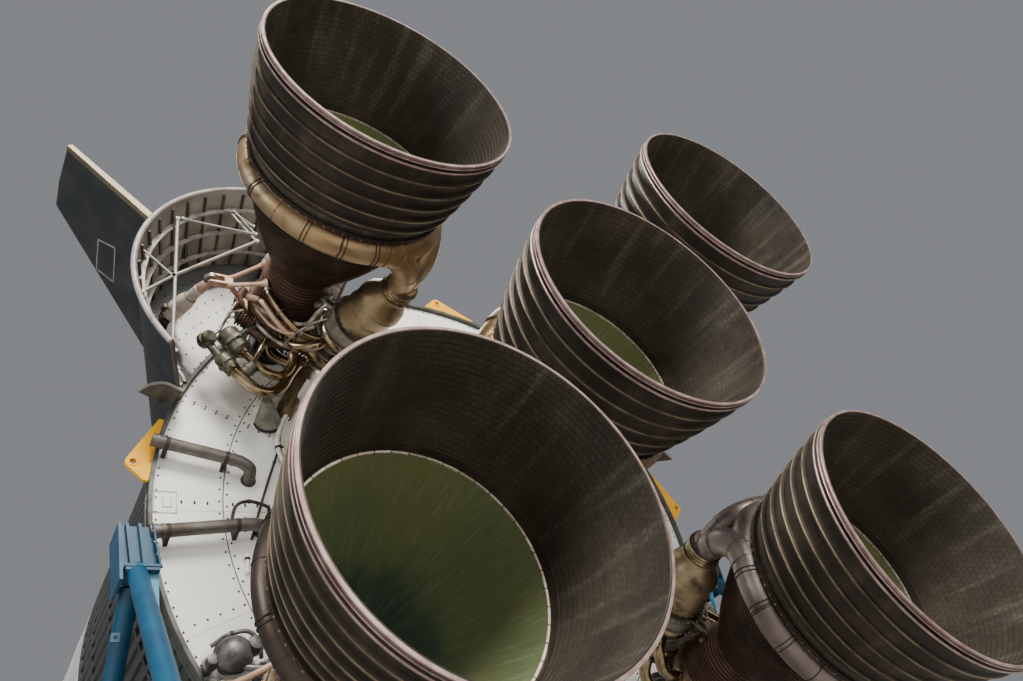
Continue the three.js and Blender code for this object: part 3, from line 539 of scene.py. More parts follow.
# Posts with forks for the gimbal blocks; the centre engine's post is bolted straight to its dome
POST_R, POST_END_Y = 0.330, 5.660
FORK_IN, FORK_OUT, FORK_HALF = 0.170, 0.250, 0.120
COLLAR = [(POST_R + 0.12, SHIELD_Y), (POST_R + 0.11, SHIELD_Y - 0.02),
          (POST_R + 0.03, SHIELD_Y - 0.03), (POST_R + 0.03, SHIELD_Y)]
POST = [(0.001, POST_END_Y), (POST_R - 0.02, POST_END_Y), (POST_R, POST_END_Y + 0.02),
        (POST_R, SHIELD_Y + 0.1), (0.001, SHIELD_Y + 0.1)]
PIN_HEAD = (0.075, 0.022, 8, 1)  # radius, height, sides and finish of a gimbal pin's head
mounts = Shell()
for engine in engines:
    middle = (engine.x, engine.z)
    mounts.turned(POST, 48, closed=True, middle=middle)
    mounts.turned(COLLAR, 48, closed=True, middle=middle)
    if engine in outer_engines:
        place = axes_at((engine.x, GIMBAL_Y, engine.z), (0, 1, 0), (0, 0, 1))
        for side in (-1, 1):
            low, high = sorted((side * FORK_IN, side * FORK_OUT))
            mounts.slab(lug_outline(FORK_HALF, POST_END_Y - GIMBAL_Y + 0.02), low, high, place)
            head = (engine.x + side * FORK_OUT, GIMBAL_Y, engine.z)
            mounts.stud(head, (side, 0, 0), *PIN_HEAD)

# The actuators' forks: each ball's pin between two lugs on a box beam that runs out from the drum
STAGE_BALL, ENGINE_BALL_R, ENGINE_BALL_T = 1.750, 1.290, 1.080
BALL_R, PIN_R, EAR_GAP, EAR_THICK = 0.060, 0.025, 0.056, 0.036
TO_Z = Matrix.Rotation(math.pi / 2, 4, "X")


def ball_fork(reach):
    """A ball on a pin along Z, between two lugs that reach along X."""
    fork = Shell()
    rises = [math.pi * (k / 12 - 0.5) for k in range(1, 12)]
    profile = [(BALL_R * math.cos(a), BALL_R * math.sin(a)) for a in rises]
    fork.include(Shell().turned(profile, 24, 1, ends=True), TO_Z)
    end = EAR_GAP + EAR_THICK
    fork.pipe([(0, 0, -end - 0.02), (0, 0, end + 0.02)], PIN_R, 12, 1)
    for side in (-1, 1):
        low, high = sorted((side * EAR_GAP, side * end))
        fork.slab(lug_outline(BALL_R, reach), low, high)
    return fork


BEAM_IN, BEAM_NEAR, BEAM_FAR, BEAM_HALF, BEAM_LIP = -1.4, 0.44, 0.66, 0.11, 0.015
for engine in outer_engines:
    for outward in ((engine.side, 0, 0), (0, 0, engine.level)):
        ball = Vector((engine.x, GIMBAL_Y, engine.z)) + Vector(outward) * STAGE_BALL
        mounts.include(ball_fork(0.46), axes_at(ball, (0, 1, 0), outward))
        beam = Shell()
        outline = [(BEAM_IN, BEAM_NEAR), (BALL_R - 0.03, BEAM_NEAR), (BALL_R, BEAM_NEAR + 0.03)]
        outline += [(BALL_R, BEAM_FAR - 0.08), (-0.10, BEAM_FAR), (BEAM_IN, BEAM_FAR)]
        beam.slab(outline, -BEAM_HALF + BEAM_LIP, BEAM_HALF - BEAM_LIP)
        beam.block((BEAM_IN, BEAM_NEAR - 0.004, -BEAM_HALF), (BALL_R, BEAM_NEAR + 0.016, BEAM_HALF))
        for bolt in range(9):
            for edge in (-0.085, 0.085):
                spot = (0.02 - 0.13 * bolt, BEAM_NEAR - 0.004, edge)
                beam.stud(spot, (0, -1, 0), 0.014, 0.012, 6, 1)
        mounts.include(beam, axes_at(ball, outward, (0, 1, 0)))

dark_paint = mottled("dark_mount_paint", (4, 6), (0.5, 0.75), (0.020, 0.021, 0.022),
                     (0.085, 0.078, 0.068), 0.36, 0.25, (18, 3, 0.003, 0.4),
                     metallic=0.1, coat_weight=0.2)
bolt_steel = mottled("bolt_steel", (9, 4), (0.38, 0.62), (0.11, 0.09, 0.07), (0.44, 0.40, 0.34),
                     0.26, 0.25, metallic=0.9)
fasten("engine_mounts", mounts, [dark_paint, bolt_steel], "black_paint")


# Heat shield
# Flat off-white panels close the tail. Their seams run outwards and round, and every panel is held
# by dark fasteners near its edges; a small hatch sits at the left edge.
ARCS = (4.04, 2.92, 1.86)  # the seams that run round
ARC_OFFSET, SEAM_PITCH_DEG, SEAM_START_DEG = 0.055, 22.4, 158.4
FASTENER_R, FASTENER_HIGH = 0.0165, 0.010
BACK_Y = SHIELD_Y + SHIELD_THICK
shield = Shell()
disc = [(0.36, SHIELD_Y), (5.018, SHIELD_Y), (5.028, SHIELD_Y + 0.008), (5.028, BACK_Y), (0.36, BACK_Y)]
shield.turned(disc, BODY_SIDES, closed=True)
fasteners = []


def shield_spot(radius, degrees, aside=0.0):
    a = math.radians(degrees)
    return radius * math.cos(a) - aside * math.sin(a), radius * math.sin(a) + aside * math.cos(a)


EDGE_COUNT, EDGE_ROW_R, FASTENER_PITCH = 172, 4.975, 0.205
for k in range(EDGE_COUNT):
    fasteners.append(shield_spot(EDGE_ROW_R, 360 * (k + 0.3 * (k % 2)) / EDGE_COUNT))
for arc in ARCS:
    count = round(2 * math.pi * arc / FASTENER_PITCH)
    for k in range(count):
        fasteners.append(shield_spot(arc + ARC_OFFSET, 360 * k / count))
        fasteners.append(shield_spot(arc - ARC_OFFSET, 360 * (k + 0.4) / count))
SEAMS, SEAM_OUT_R, SEAM_STEP, SEAM_ASIDE = 16, 4.81, 0.182, 0.026
for seam in range(SEAMS):
    degrees = SEAM_START_DEG + SEAM_PITCH_DEG * seam
    double = seam % 3 == 0
    for k in range(19):
        radius = SEAM_OUT_R - SEAM_STEP * k
        if min(abs(radius - arc) for arc in ARCS) > 0.11:
            fasteners.append(shield_spot(radius, degrees, SEAM_ASIDE if double else 0.0))
            if double or seam == 1:
                fasteners.append(shield_spot(radius, degrees, -SEAM_ASIDE))


def open_shield(x, z):
    """True where no engine post or its collar stands."""
    return all(math.hypot(x - engine.x, z - engine.z) > 0.50 for engine in engines)


for x, z in fasteners:
    if open_shield(x, z):
        shield.stud((x, SHIELD_Y, z), (0, -1, 0), FASTENER_R, FASTENER_HIGH, 6, 1)

# The hatch at the left edge: a frame round a plate with a handle on it
HATCH_DEG, HATCH_R = -180.8, 4.86
hatch_place = Matrix.Rotation(math.radians(HATCH_DEG), 4, "Y")
hatch_place = hatch_place @ axes_at((HATCH_R, SHIELD_Y, 0), (1, 0, 0), (0, 0, 1))
HATCH_FRAME = [((-0.17, -0.18), (0.15, -0.165)), ((-0.17, 0.165), (0.15, 0.18)),
               ((-0.17, -0.18), (-0.155, 0.18)), ((0.135, -0.18), (0.15, 0.18))]
for low, high in HATCH_FRAME:
    shield.block((*low, -0.002), (*high, 0.010), hatch_place, 2)
shield.block((-0.10, -0.085, -0.002), (0.03, 0.085, 0.012), hatch_place, 2)
shield.block((-0.085, -0.07, 0.010), (0.015, 0.07, 0.0125), hatch_place, 0)

panel_white = Finish("shield_panels", metallic=0.0, coat_weight=0.1)
angle, _, radius = panel_white.turns()
seam_angle = angle * (180 / math.pi) - SEAM_START_DEG
across = seam_angle.math("PINGPONG", SEAM_PITCH_DEG / 2) * (math.pi / 180) * radius
lines = across.step(0.007, 0.003) * (radius < 4.9) * 0.5
for arc in ARCS:
    lines = lines.math("MAXIMUM", (radius - arc).math("ABSOLUTE").step(0.012, 0.006))
smear = panel_white.noise(0.8, 5)
soil = panel_white.noise(3.5, 6)
white = panel_white.mix(smear.step(0.42, 0.78), (0.86, 0.845, 0.80), (0.76, 0.735, 0.68))
white = panel_white.mix(soil.step(0.62, 0.86) * 0.5, white, (0.50, 0.45, 0.38))
panel_white.looks(base_color=panel_white.mix(lines, white, (0.10, 0.085, 0.07)))
panel_white.looks(roughness=0.40 + smear * 0.2)
panel_white.bump(panel_white.noise(1.1, 2) * 0.8 - lines, 0.006, 0.35)

black_head = mottled("fastener_heads", (14, 2), (0.4, 0.6), (0.014, 0.013, 0.012),
                     (0.05, 0.042, 0.036), 0.45, metallic=0.3)
hatch_grey = mottled("hatch_frame", (9, 4), (0.4, 0.7), (0.50, 0.48, 0.43), (0.34, 0.32, 0.28),
                     0.42, 0.2, metallic=0.2)
fasten("shield_panels", shield, [panel_white, black_head, hatch_grey], "shield_paint", "heat_shield")


# Aft ring
# A bolted ring stiffens the body's end. On both sides of each quarter point it has a yellow lug
# for lifting and turning the stage, apart from where the stand's brackets are bolted on.
RING_R, RING_LOW, RING_HIGH, RING_WEB_R = 5.090, 5.640, 5.900, 5.074
# columns: quarter point in degrees, the side of it that the lug is on
LUG_PLACES = [(180, -1), (90, 1), (90, -1), (0, 1), (-90, 1), (-90, -1)]
LUG_ASIDE = 9
LUG_HALF, LUG_RISE, LUG_LEAN, LUG_TIP, LUG_HOLE = 0.560, 0.350, 0.290, 0.105, 0.045
LUG_FOOT, LUG_BOSS_R = 0.05, 0.076


def holed_plate(shell, outline, hole, radius, low, high, place, finish):
    """A plate with a round hole; the outline must be seen whole from the hole's middle."""
    corners = [Vector(point) - Vector(hole) for point in outline]
    angles = {math.atan2(corner.y, corner.x) for corner in corners}
    angles |= {2 * math.pi * k / 24 - math.pi for k in range(24)}
    inner, outer = [], []
    for a in sorted(angles):
        ray = Vector((math.cos(a), math.sin(a)))
        reaches = []
        for one, two in zip(corners, corners[1:] + corners[:1]):
            edge = two - one
            cross = ray.x * edge.y - ray.y * edge.x
            if abs(cross) > 1e-9:
                reach = (one.x * edge.y - one.y * edge.x) / cross
                share = (one.x * ray.y - one.y * ray.x) / cross
                if reach > 0 and -1e-6 <= share <= 1 + 1e-6:
                    reaches.append(reach)
        outer.append(Vector(hole) + ray * min(reaches))
        inner.append(Vector(hole) + ray * radius)
    rows = [[place @ Vector((*point, z)) for point in loop]
            for loop, z in ((outer, low), (outer, high), (inner, high), (inner, low))]
    shell.net(rows, finish, closed=True)


ring = Shell()
section = [
    (BODY_R + 0.001, RING_LOW), (RING_R - 0.006, RING_LOW), (RING_R, RING_LOW + 0.006),
    (RING_R, RING_LOW + 0.05), (RING_WEB_R, RING_LOW + 0.055), (RING_WEB_R, RING_HIGH - 0.055),
    (RING_R, RING_HIGH - 0.05), (RING_R, RING_HIGH), (BODY_R + 0.001, RING_HIGH),
]
ring.turned(section, BODY_SIDES, closed=True)
for y in (RING_LOW + 0.085, RING_HIGH - 0.085):
    ring.bolts(180, RING_WEB_R, y, (0.013, 0.010), 0)


def lug_shape(toward):
    """A lug's outline, and the middle of its round tip, which leans to one side."""
    tip = Vector((LUG_RISE - LUG_TIP, toward * LUG_LEAN))
    turns = []
    for side in (-1, 1):
        line = Vector((LUG_FOOT, side * LUG_HALF)) - tip
        turns.append(math.atan2(line.y, line.x) - side * math.acos(LUG_TIP / line.length))
    curve = [turns[0] + (turns[1] - turns[0]) * k / 8 for k in range(9)]
    outline = [(-0.02, -LUG_HALF), (LUG_FOOT, -LUG_HALF)]
    outline += [(tip.x + LUG_TIP * math.cos(a), tip.y + LUG_TIP * math.sin(a)) for a in curve]
    return [*outline, (LUG_FOOT, LUG_HALF), (-0.02, LUG_HALF)], tip


BOSS = [(LUG_HOLE, -0.010), (LUG_BOSS_R, -0.010), (LUG_BOSS_R, 0.070), (LUG_HOLE, 0.070)]
GUSSET = [(0, 0.06), (0.11, 0.06), (0, 0.20)]
for quarter, side in LUG_PLACES:
    turn = Matrix.Rotation(math.radians(-quarter - side * LUG_ASIDE), 4, "Y")
    place = turn @ axes_at((RING_R, RING_LOW + 0.10, 0), (1, 0, 0), (0, 0, 1))
    outline, tip = lug_shape(-side)
    holed_plate(ring, outline, tip, LUG_HOLE, 0, 0.06, place, 1)
    boss = Shell().turned(BOSS, 24, 1, closed=True)
    ring.include(boss, turn @ Matrix.Translation((RING_R + tip.x, RING_LOW + 0.04, tip.y)))
    foot = turn @ Matrix.Translation((RING_R - 0.005, RING_LOW + 0.03, 0))
    for across in (-side * 0.32, side * 0.12):
        ring.slab(GUSSET, across - 0.012, across + 0.012, foot, 1)
for y in (RING_LOW + 0.03, RING_HIGH - 0.03):
    ring.ring(RING_R - 0.010, y, 0.012, BODY_SIDES, 6)

ring_grey = mottled("ring_grey", (3, 5), (0.38, 0.7), (0.105, 0.105, 0.092),
                    (0.050, 0.046, 0.038), 0.38, 0.25, metallic=0.45)
lug_yellow = Finish("lug_yellow", metallic=0.0)
chips = lug_yellow.noise(8, 6)
faded = lug_yellow.noise(2, 3)
gold = lug_yellow.mix(faded.step(0.35, 0.7), (0.88, 0.43, 0.0), (0.72, 0.32, 0.0))
lug_yellow.looks(base_color=lug_yellow.mix(chips.step(0.66, 0.74), gold, (0.22, 0.12, 0.04)))
lug_yellow.looks(roughness=0.60 + faded * 0.2)
lug_yellow.bump(lug_yellow.noise(30, 2), 0.002, 0.3)
fasten("end_ring", ring, [ring_grey, lug_yellow], "yellow_paint", "aft_ring")


# Drain pipes
# Two steel pipes run in over the heat shield from its left edge and bend down into it. Each is
# banded to a pressed saddle bracket at both ends of its straight run.
def smooth(points, parts=6):
    """More points along a smooth line through the given ones."""
    points = [Vector(point) for point in points]
    chain = [2 * points[0] - points[1], *points, 2 * points[-1] - points[-2]]
    line = []
    for a, b, c, d in zip(chain, chain[1:], chain[2:], chain[3:]):
        for part in range(parts):
            s = part / parts
            line.append(0.5 * (2 * b + (c - a) * s + (2 * a - 5 * b + 4 * c - d) * s**2
                               + (3 * b - 3 * c + d - a) * s**3))
    return [*line, points[-1]]


DRAIN_R, DRAIN_Y, DRAIN_SIDES = 0.095, 5.480, 28
# columns: name, points along the pipe; the first two are the ends of its straight run
DRAIN_PIPES = [
    ("upper", [(-5.110, DRAIN_Y, 0.815), (-3.860, DRAIN_Y, 0.582), (-3.700, 5.530, 0.510),
               (-3.665, 5.620, 0.440), (-3.660, 5.730, 0.400)]),
    ("lower", [(-5.080, DRAIN_Y, -0.697), (-3.700, DRAIN_Y, -0.495), (-3.530, 5.560, -0.470),
               (-3.500, 5.730, -0.465)]),
]
# columns: a weld's share of the straight run, its half width
DRAIN_WELDS = [(0.055, 0.03), (0.12, 0.012), (0.93, 0.012)]
LEG_REACH = SHIELD_Y - DRAIN_Y - 0.002
BRACKET_LEGS = [(0.0, -0.085), (LEG_REACH, -0.11), (LEG_REACH, 0.11), (0.0, 0.085)]
BRACKET_TURN = Matrix(((0, 0, 1, 0), (1, 0, 0, 0), (0, 1, 0, 0), (0, 0, 0, 1)))
pipe_steel = Finish("drain_pipe_steel", metallic=0.55)
x, y, z = pipe_steel.axes()
rust = pipe_steel.noise(2.6, 6)
brushed = pipe_steel.noise(1.0, 4, pipe_steel.vector(x * 3, y * 24, z * 24))
brown = pipe_steel.mix(rust.step(0.42, 0.72), (0.15, 0.135, 0.12), (0.075, 0.055, 0.042))
rubbed = brushed.step(0.55, 0.85) * 0.6
pipe_steel.looks(base_color=pipe_steel.mix(rubbed, brown, (0.30, 0.28, 0.26)))
pipe_steel.looks(roughness=0.36 + rust * 0.25)
pipe_steel.bump(pipe_steel.noise(22, 3), 0.003, 0.4)
# Near-black for the saddles, cables and hoses; in the drain pipes' open ends it is painted shade for the
# bore
black_parts_bore_shade = mottled("pipe_bore_dark", (6, 2), (0.4, 0.6), (0.010, 0.009, 0.008), (0.04, 0.03, 0.02),
                    0.7, metallic=0.1)

for name, points in DRAIN_PIPES:
    drain = Shell()
    start, bend = Vector(points[0]), Vector(points[1])
    run = bend - start
    along = run.normalized()
    path = [start, start + run * 0.02, start + run * 0.9, *smooth(points[1:], 10)[1:]]
    drain.pipe(path, DRAIN_R, DRAIN_SIDES)
    drain.pipe([start - run * 0.002, start + run * 0.012], DRAIN_R + 0.014, DRAIN_SIDES)
    # A dark disc set in the pipe's open end: painted shade for the bore
    drain.pipe([start - run * 0.005, start + run * 0.01], DRAIN_R - 0.014, DRAIN_SIDES, 1)
    for share, half in DRAIN_WELDS:
        middle = start + run * share
        drain.pipe([middle - along * half, middle + along * half], DRAIN_R + 0.010, DRAIN_SIDES)
    foot = Vector(points[-1])
    drain.pipe([foot - Vector((0, 0.028, 0)), foot], DRAIN_R + 0.022, DRAIN_SIDES, 1)
    for share in (0.17, 0.85):
        middle = start + run * share
        drain.pipe([middle - along * 0.030, middle + along * 0.030], DRAIN_R + 0.006, DRAIN_SIDES, 1)
        bracket = axes_at(middle, along, (0, 1, 0)) @ BRACKET_TURN
        drain.slab(BRACKET_LEGS, -0.028, 0.028, bracket, 1)
    fasten("drain_tube_" + name, drain, [pipe_steel, black_parts_bore_shade], "grey_steel", "drain_pipe_" + name)


# Shield wiring
# White conduits and dark cables lie on the heat shield and go on behind the bells. A grey bottle
# with its valves stands beside the lower left engine; a fabric boot closes the shield round a line.
WHITE_LINE, DARK_LINE, GREY_LINE, BOOT, SUCTION = range(5)  # the wiring's finishes, in order
# columns: points along a line, its radius, its finish
SHIELD_LINES = [
    ([(-2.74, 5.20, 2.158), (-2.92, 5.50, 1.86), (-3.11, 5.64, 1.50), (-3.19, 5.65, 1.03),
      (-3.02, 5.65, 0.50), (-2.98, 5.65, 0.15), (-2.80, 5.65, -0.57), (-2.31, 5.65, -1.40)],
     0.034, WHITE_LINE),
    ([(-2.66, 5.20, 2.20), (-2.84, 5.50, 1.90), (-3.03, 5.66, 1.54), (-3.10, 5.68, 1.06),
      (-2.95, 5.69, 0.56), (-2.90, 5.71, 0.30)], 0.020, WHITE_LINE),
    ([(-3.12, 5.70, 1.12), (-3.205, 5.68, 0.888), (-3.463, 5.68, 0.055), (-3.60, 5.68, -0.45),
      (-3.64, 5.71, -0.62)], 0.020, DARK_LINE),
    ([(-4.02, 5.46, -0.60), (-3.994, 5.50, -0.548), (-3.917, 5.52, -0.198), (-3.71, 5.54, -0.08),
      (-3.429, 5.60, -0.11), (-3.36, 5.71, -0.15)], 0.026, DARK_LINE),
    ([(-4.80, 5.70, 2.37), (-4.784, 5.62, 2.347), (-4.70, 5.60, 2.22), (-4.642, 5.64, 2.104),
      (-4.63, 5.71, 2.08)], 0.022, WHITE_LINE),
    ([(-3.72, 5.69, -0.88), (-3.72, 5.68, -0.91), (-3.72, 5.68, -1.12), (-3.72, 5.69, -1.15)],
     0.030, WHITE_LINE),
    ([(-4.27, 5.50, -2.28), (-4.10, 5.36, -2.20), (-3.84, 5.34, -2.16), (-3.68, 5.40, -2.30),
      (-3.60, 5.60, -2.40)], 0.030, GREY_LINE),
    ([(-3.90, 5.36, -2.62), (-3.70, 5.30, -2.66), (-3.52, 5.34, -2.56), (-3.46, 5.60, -2.50)],
     0.045, GREY_LINE),
    ([(-4.30, 5.60, -2.66), (-4.22, 5.40, -2.76), (-4.08, 5.32, -2.84), (-3.92, 5.36, -2.74)],
     0.036, GREY_LINE),
]
wiring = Shell()
for points, radius, finish in SHIELD_LINES:
    path = smooth(points, 5)
    wiring.pipe(path, radius, 12, finish)
    for k in range(6, len(path) - 3, 9):
        wiring.band(path, k, 0.02, radius * 1.3, 12, DARK_LINE)
BOTTLE_X, BOTTLE_Y, BOTTLE_Z, BOTTLE_R = -4.02, 5.40, -2.44, 0.24
rises = [math.pi * (k / 14 - 0.5) for k in range(1, 14)]
bottle = [(BOTTLE_R * math.cos(a), BOTTLE_R * math.sin(a)) for a in rises]
wiring.include(Shell().turned(bottle, 36, GREY_LINE, ends=True),
               Matrix.Translation((BOTTLE_X, BOTTLE_Y, BOTTLE_Z)))
wiring.ring(BOTTLE_R + 0.003, BOTTLE_Y, 0.012, 40, 8, DARK_LINE, (BOTTLE_X, BOTTLE_Z))
# columns: a valve's place and its size
BOTTLE_VALVES = [(-3.76, 5.38, -2.34, 1.0), (-3.62, 5.44, -2.62, 0.8), (-4.28, 5.48, -2.50, 0.8)]
for x, y, z, size in BOTTLE_VALVES:
    stem, neck, cap = 0.09 * size, 0.10 * size, 0.13 * size
    section = [(0.03 * size, y - 0.15), (stem, y - 0.14), (neck, y - 0.02), (cap, y - 0.015)]
    section += [(cap, y + 0.03), (stem, y + 0.04), (0.08, SHIELD_Y)]
    wiring.turned(section, 24, GREY_LINE, ends=True, middle=(x, z))
wiring.turned([(0.10, 5.60), (0.13, SHIELD_Y)], 24, DARK_LINE, ends=True, middle=(BOTTLE_X, BOTTLE_Z))
boot_path = [(-3.31, SHIELD_Y, 1.56), (-3.33, 5.64, 1.575), (-3.42, 5.38, 1.64), (-3.45, 5.28, 1.66)]
wiring.pipe(boot_path, [0.225, 0.200, 0.110, 0.085], 28, BOOT)
wiring.pipe([boot_path[0], (-3.315, SHIELD_Y - 0.03, 1.565)], 0.245, 28, DARK_LINE)

# A short suction line beside the boot bends from the shield towards the upper engine's pump
SUCTION_R = 0.15
suction = smooth([(-2.68, 5.33, 2.58), (-2.78, 5.44, 2.35), (-2.92, 5.52, 2.02), (-3.01, 5.60, 1.82),
                  (-3.04, 5.74, 1.74)])
wiring.pipe(suction, SUCTION_R, 24, SUCTION)
for k in (1, 9, 17):
    wiring.band(suction, k, 0.02, SUCTION_R * 1.1, 24, SUCTION)
conduit_white = mottled("white_conduit", (5, 4), (0.45, 0.75), (0.84, 0.82, 0.76), (0.58, 0.54, 0.47),
                        0.42, 0.2, metallic=0.0)
bottle_grey = mottled("bottle_grey", (5, 4), (0.4, 0.7), (0.19, 0.185, 0.175), (0.060, 0.055, 0.050),
                      0.34, 0.2, metallic=0.6)
boot_green = Finish("boot_cloth", metallic=0.0)
folds = boot_green.noise(6, 4)
cloth = boot_green.mix(folds.step(0.4, 0.7), (0.23, 0.24, 0.18), (0.12, 0.125, 0.095))
boot_green.looks(base_color=cloth, roughness=0.7 + folds * 0.15)
boot_green.bump(folds, 0.012, 0.7)
suction_brown = mottled("suction_brown", (4, 5), (0.4, 0.7), (0.20, 0.138, 0.070),
                        (0.085, 0.058, 0.034), 0.30, 0.25, metallic=0.6)
fasten("shield_wiring", wiring, [conduit_white, black_parts_bore_shade, bottle_grey, boot_green, suction_brown],
       "wire_black")


# Fairings
# Half cones of riveted sheet stream the air round the two upper engines: a tube at the mouth, ring
# frames and stringers inside, tubes that brace the mouth, and a floor that carries the shield on.
FAIRING_AFT_Y, FAIRING_AFT_R, FAIRING_SLOPE, FAIRING_END_Y = 4.250, 2.450, 0.270, 11.78
SHEET, FRAME_IN, EDGE_LEAN = 0.030, 0.115, 0.400
OUTSIDE, INSIDE, TUBE, EDGE_STRIP, BAY_FLOOR, HEADS = range(6)  # the fairing's finishes, in order


def fairing_r(y):
    return FAIRING_AFT_R - FAIRING_SLOPE * (y - FAIRING_AFT_Y)


def edge_angle(y, radius):
    """How far round from outboard the sheet runs before it meets the body or the leaning edge."""
    lean = max(0, SHIELD_Y - y) / (SHIELD_Y - FAIRING_AFT_Y)
    edge = BODY_R + 0.004 + EDGE_LEAN * lean
    cosine = (edge**2 - ENGINE_CIRCLE**2 - radius**2) / (2 * ENGINE_CIRCLE * radius)
    return math.degrees(math.acos(max(-1, min(1, cosine))))


def on_cone(a, y, inwards=0.0):
    """A point of the fairing's cone, in radians from outboard."""
    r = fairing_r(y) - inwards
    return Vector((r * math.cos(a), y, r * math.sin(a)))


def arc_points(radius, y, half, count):
    angles = [math.radians(-half + 2 * half * k / (count - 1)) for k in range(count)]
    return [Vector((radius * math.cos(a), y, radius * math.sin(a))) for a in angles]


left = outer_engines[0]
to_engine = Matrix.Translation((left.x, 0, left.z))
to_engine = to_engine @ Matrix.Rotation(math.radians(-left.outboard), 4, "Y")
cone = Shell()
COLUMNS = 64
SHEET_ROWS = (4.25, 4.6, 4.95, 5.3, 5.62, 5.9, 6.3, 6.9, 7.5, 8.1, 8.7, 9.3, 9.9, 10.5, 11.0, 11.4,
              11.65, FAIRING_END_Y)
rows = []
for y in SHEET_ROWS:
    half, r = edge_angle(y, fairing_r(y)), fairing_r(y)
    rows.append(arc_points(r, y, half, COLUMNS) + arc_points(r - SHEET, y, half, COLUMNS)[::-1])
cone.net(rows, lambda i, j: OUTSIDE if j < COLUMNS else INSIDE, ends=True)
MOUTH_TUBE_R = 0.046
mouth = edge_angle(FAIRING_AFT_Y, FAIRING_AFT_R) + 0.6
mouth_line = arc_points(FAIRING_AFT_R + 0.015, FAIRING_AFT_Y + 0.01, mouth, 97)
cone.pipe(mouth_line, MOUTH_TUBE_R, 16, TUBE)
for y, finish in ((4.60, TUBE), (5.02, TUBE), (5.42, TUBE), (6.4, INSIDE), (7.4, INSIDE)):
    half, r = edge_angle(y, fairing_r(y)) - 0.5, fairing_r(y)
    section = [(r - SHEET, y - 0.02), (r - SHEET, y + 0.02), (r - FRAME_IN, y + 0.02),
               (r - FRAME_IN, y - 0.02)]
    cone.turned(section, 60, finish, arc=(-half, half))
STRINGER_R, STRINGER_DEG = 0.026, 9
for k in range(-9, 10):
    a = math.radians(STRINGER_DEG * k)
    cone.pipe([on_cone(a, y, SHEET + 0.018) for y in (4.31, 5.70)], STRINGER_R, 4, EDGE_STRIP)
RIVET = (0.012, 0.006, 5, OUTSIDE)  # a rivet head's radius, height, sides and finish
for y in (4.62, 5.04, 5.44, 6.0, 6.9, 7.8, 8.7, 9.6, 10.5):
    half = edge_angle(y, fairing_r(y)) - 1
    for spot in arc_points(fairing_r(y), y, half, round(fairing_r(y) * half / 4.2)):
        cone.stud(spot, (spot.x, 0, spot.z), *RIVET)

# The edges of the sheet are capped by strips from the mouth to the shield
for side in (-1, 1):
    edge = []
    for y in (4.27, 4.7, 5.2, 5.70):
        edge.append(on_cone(math.radians(edge_angle(y, fairing_r(y))) * side, y, 0.015))
    cone.pipe(edge, 0.034, 4, EDGE_STRIP)

fairing = Shell().include(cone, to_engine)

# The floor, in the shield's plane, from the body's edge out to the sheet
FLOOR_HALF_DEG, FLOOR_STEPS = 23.9, 20
floor_r = fairing_r(SHIELD_Y) - SHEET
near = BODY_R + 0.001
rows = []
for k in range(2 * FLOOR_STEPS + 1):
    a = math.radians(FLOOR_HALF_DEG * (k / FLOOR_STEPS - 1))
    far = ENGINE_CIRCLE * math.cos(a) + math.sqrt(floor_r**2 - (ENGINE_CIRCLE * math.sin(a))**2)
    a += math.radians(left.outboard)
    section = [(near, SHIELD_Y), (near * 0.5 + far * 0.5, SHIELD_Y), (far, SHIELD_Y), (far, BACK_Y),
               (near, BACK_Y)]
    rows.append([(r * math.cos(a), y, r * math.sin(a)) for r, y in section])
fairing.net(rows, BAY_FLOOR, ends=True)
for row in range(6):
    radius = 5.12 + 0.26 * row
    for k in range(-12, 13):
        a = math.radians(left.outboard + k * 2.0)
        spot = Vector((radius * math.cos(a), SHIELD_Y, radius * math.sin(a)))
        if 0.35 < (spot - Vector((left.x, SHIELD_Y, left.z))).length < floor_r - 0.10:
            fairing.stud(spot, (0, -1, 0), FASTENER_R, FASTENER_HIGH, 6, HEADS)

# Tubes brace the mouth in one plane; columns: ends as x and z, radius
BRACE_Y, ROOT_Y = 4.40, 4.60
BRACES = [
    ((-5.13, 3.18), (-5.56, 2.70), 0.024), ((-5.13, 3.18), (-3.79, 4.45), 0.029),
    ((-5.10, 4.56), (-5.10, 1.81), 0.026), ((-5.02, 4.59), (-3.80, 4.63), 0.020),
    ((-5.13, 3.18), (-5.61, 3.65), 0.018), ((-4.17, 5.10), (-3.83, 4.83), 0.016),
]
for one, two, radius in BRACES:
    fairing.pipe([(one[0], BRACE_Y, one[1]), (two[0], BRACE_Y, two[1])], radius, 12, TUBE)
    for x, z in (one, two):
        fairing.pipe([(x, BRACE_Y - 0.03, z), (x, BRACE_Y + 0.03, z)], radius * 1.45, 12, TUBE)
BRACE_ROOTS = [(-5.56, 2.70), (-3.79, 4.45), (-5.10, 1.81), (-3.80, 4.63), (-5.61, 3.65),
               (-4.17, 5.10), (-5.10, 4.56)]
for x, z in BRACE_ROOTS:
    out = Vector((x - left.x, 0, z - left.z)).normalized()
    foot = Vector((left.x, ROOT_Y, left.z)) + out * (fairing_r(ROOT_Y) - 0.08)
    fairing.pipe([(x, BRACE_Y, z), foot], 0.022, 8, TUBE)

# A curved lip and a scoop close the gap between the sheet's lower edge and the body
lip = smooth([(-5.38, 5.30, 1.53), (-5.24, 5.30, 1.67), (-5.10, 5.30, 1.74), (-4.95, 5.31, 1.76),
              (-4.73, 5.33, 1.67)], 5)
fairing.pipe(lip, 0.022, 10, TUBE)
SCOOP_END, SCOOP_WALL = Vector((-4.88, 5.71, 1.66)), Vector((0.012, 0.004, -0.012))
scoop = []
for depth in range(6):
    row = [point.lerp(SCOOP_END, 0.16 * depth) for point in lip]
    scoop.append(row + [point + SCOOP_WALL for point in reversed(row)])
fairing.net(scoop, EDGE_STRIP, ends=True)

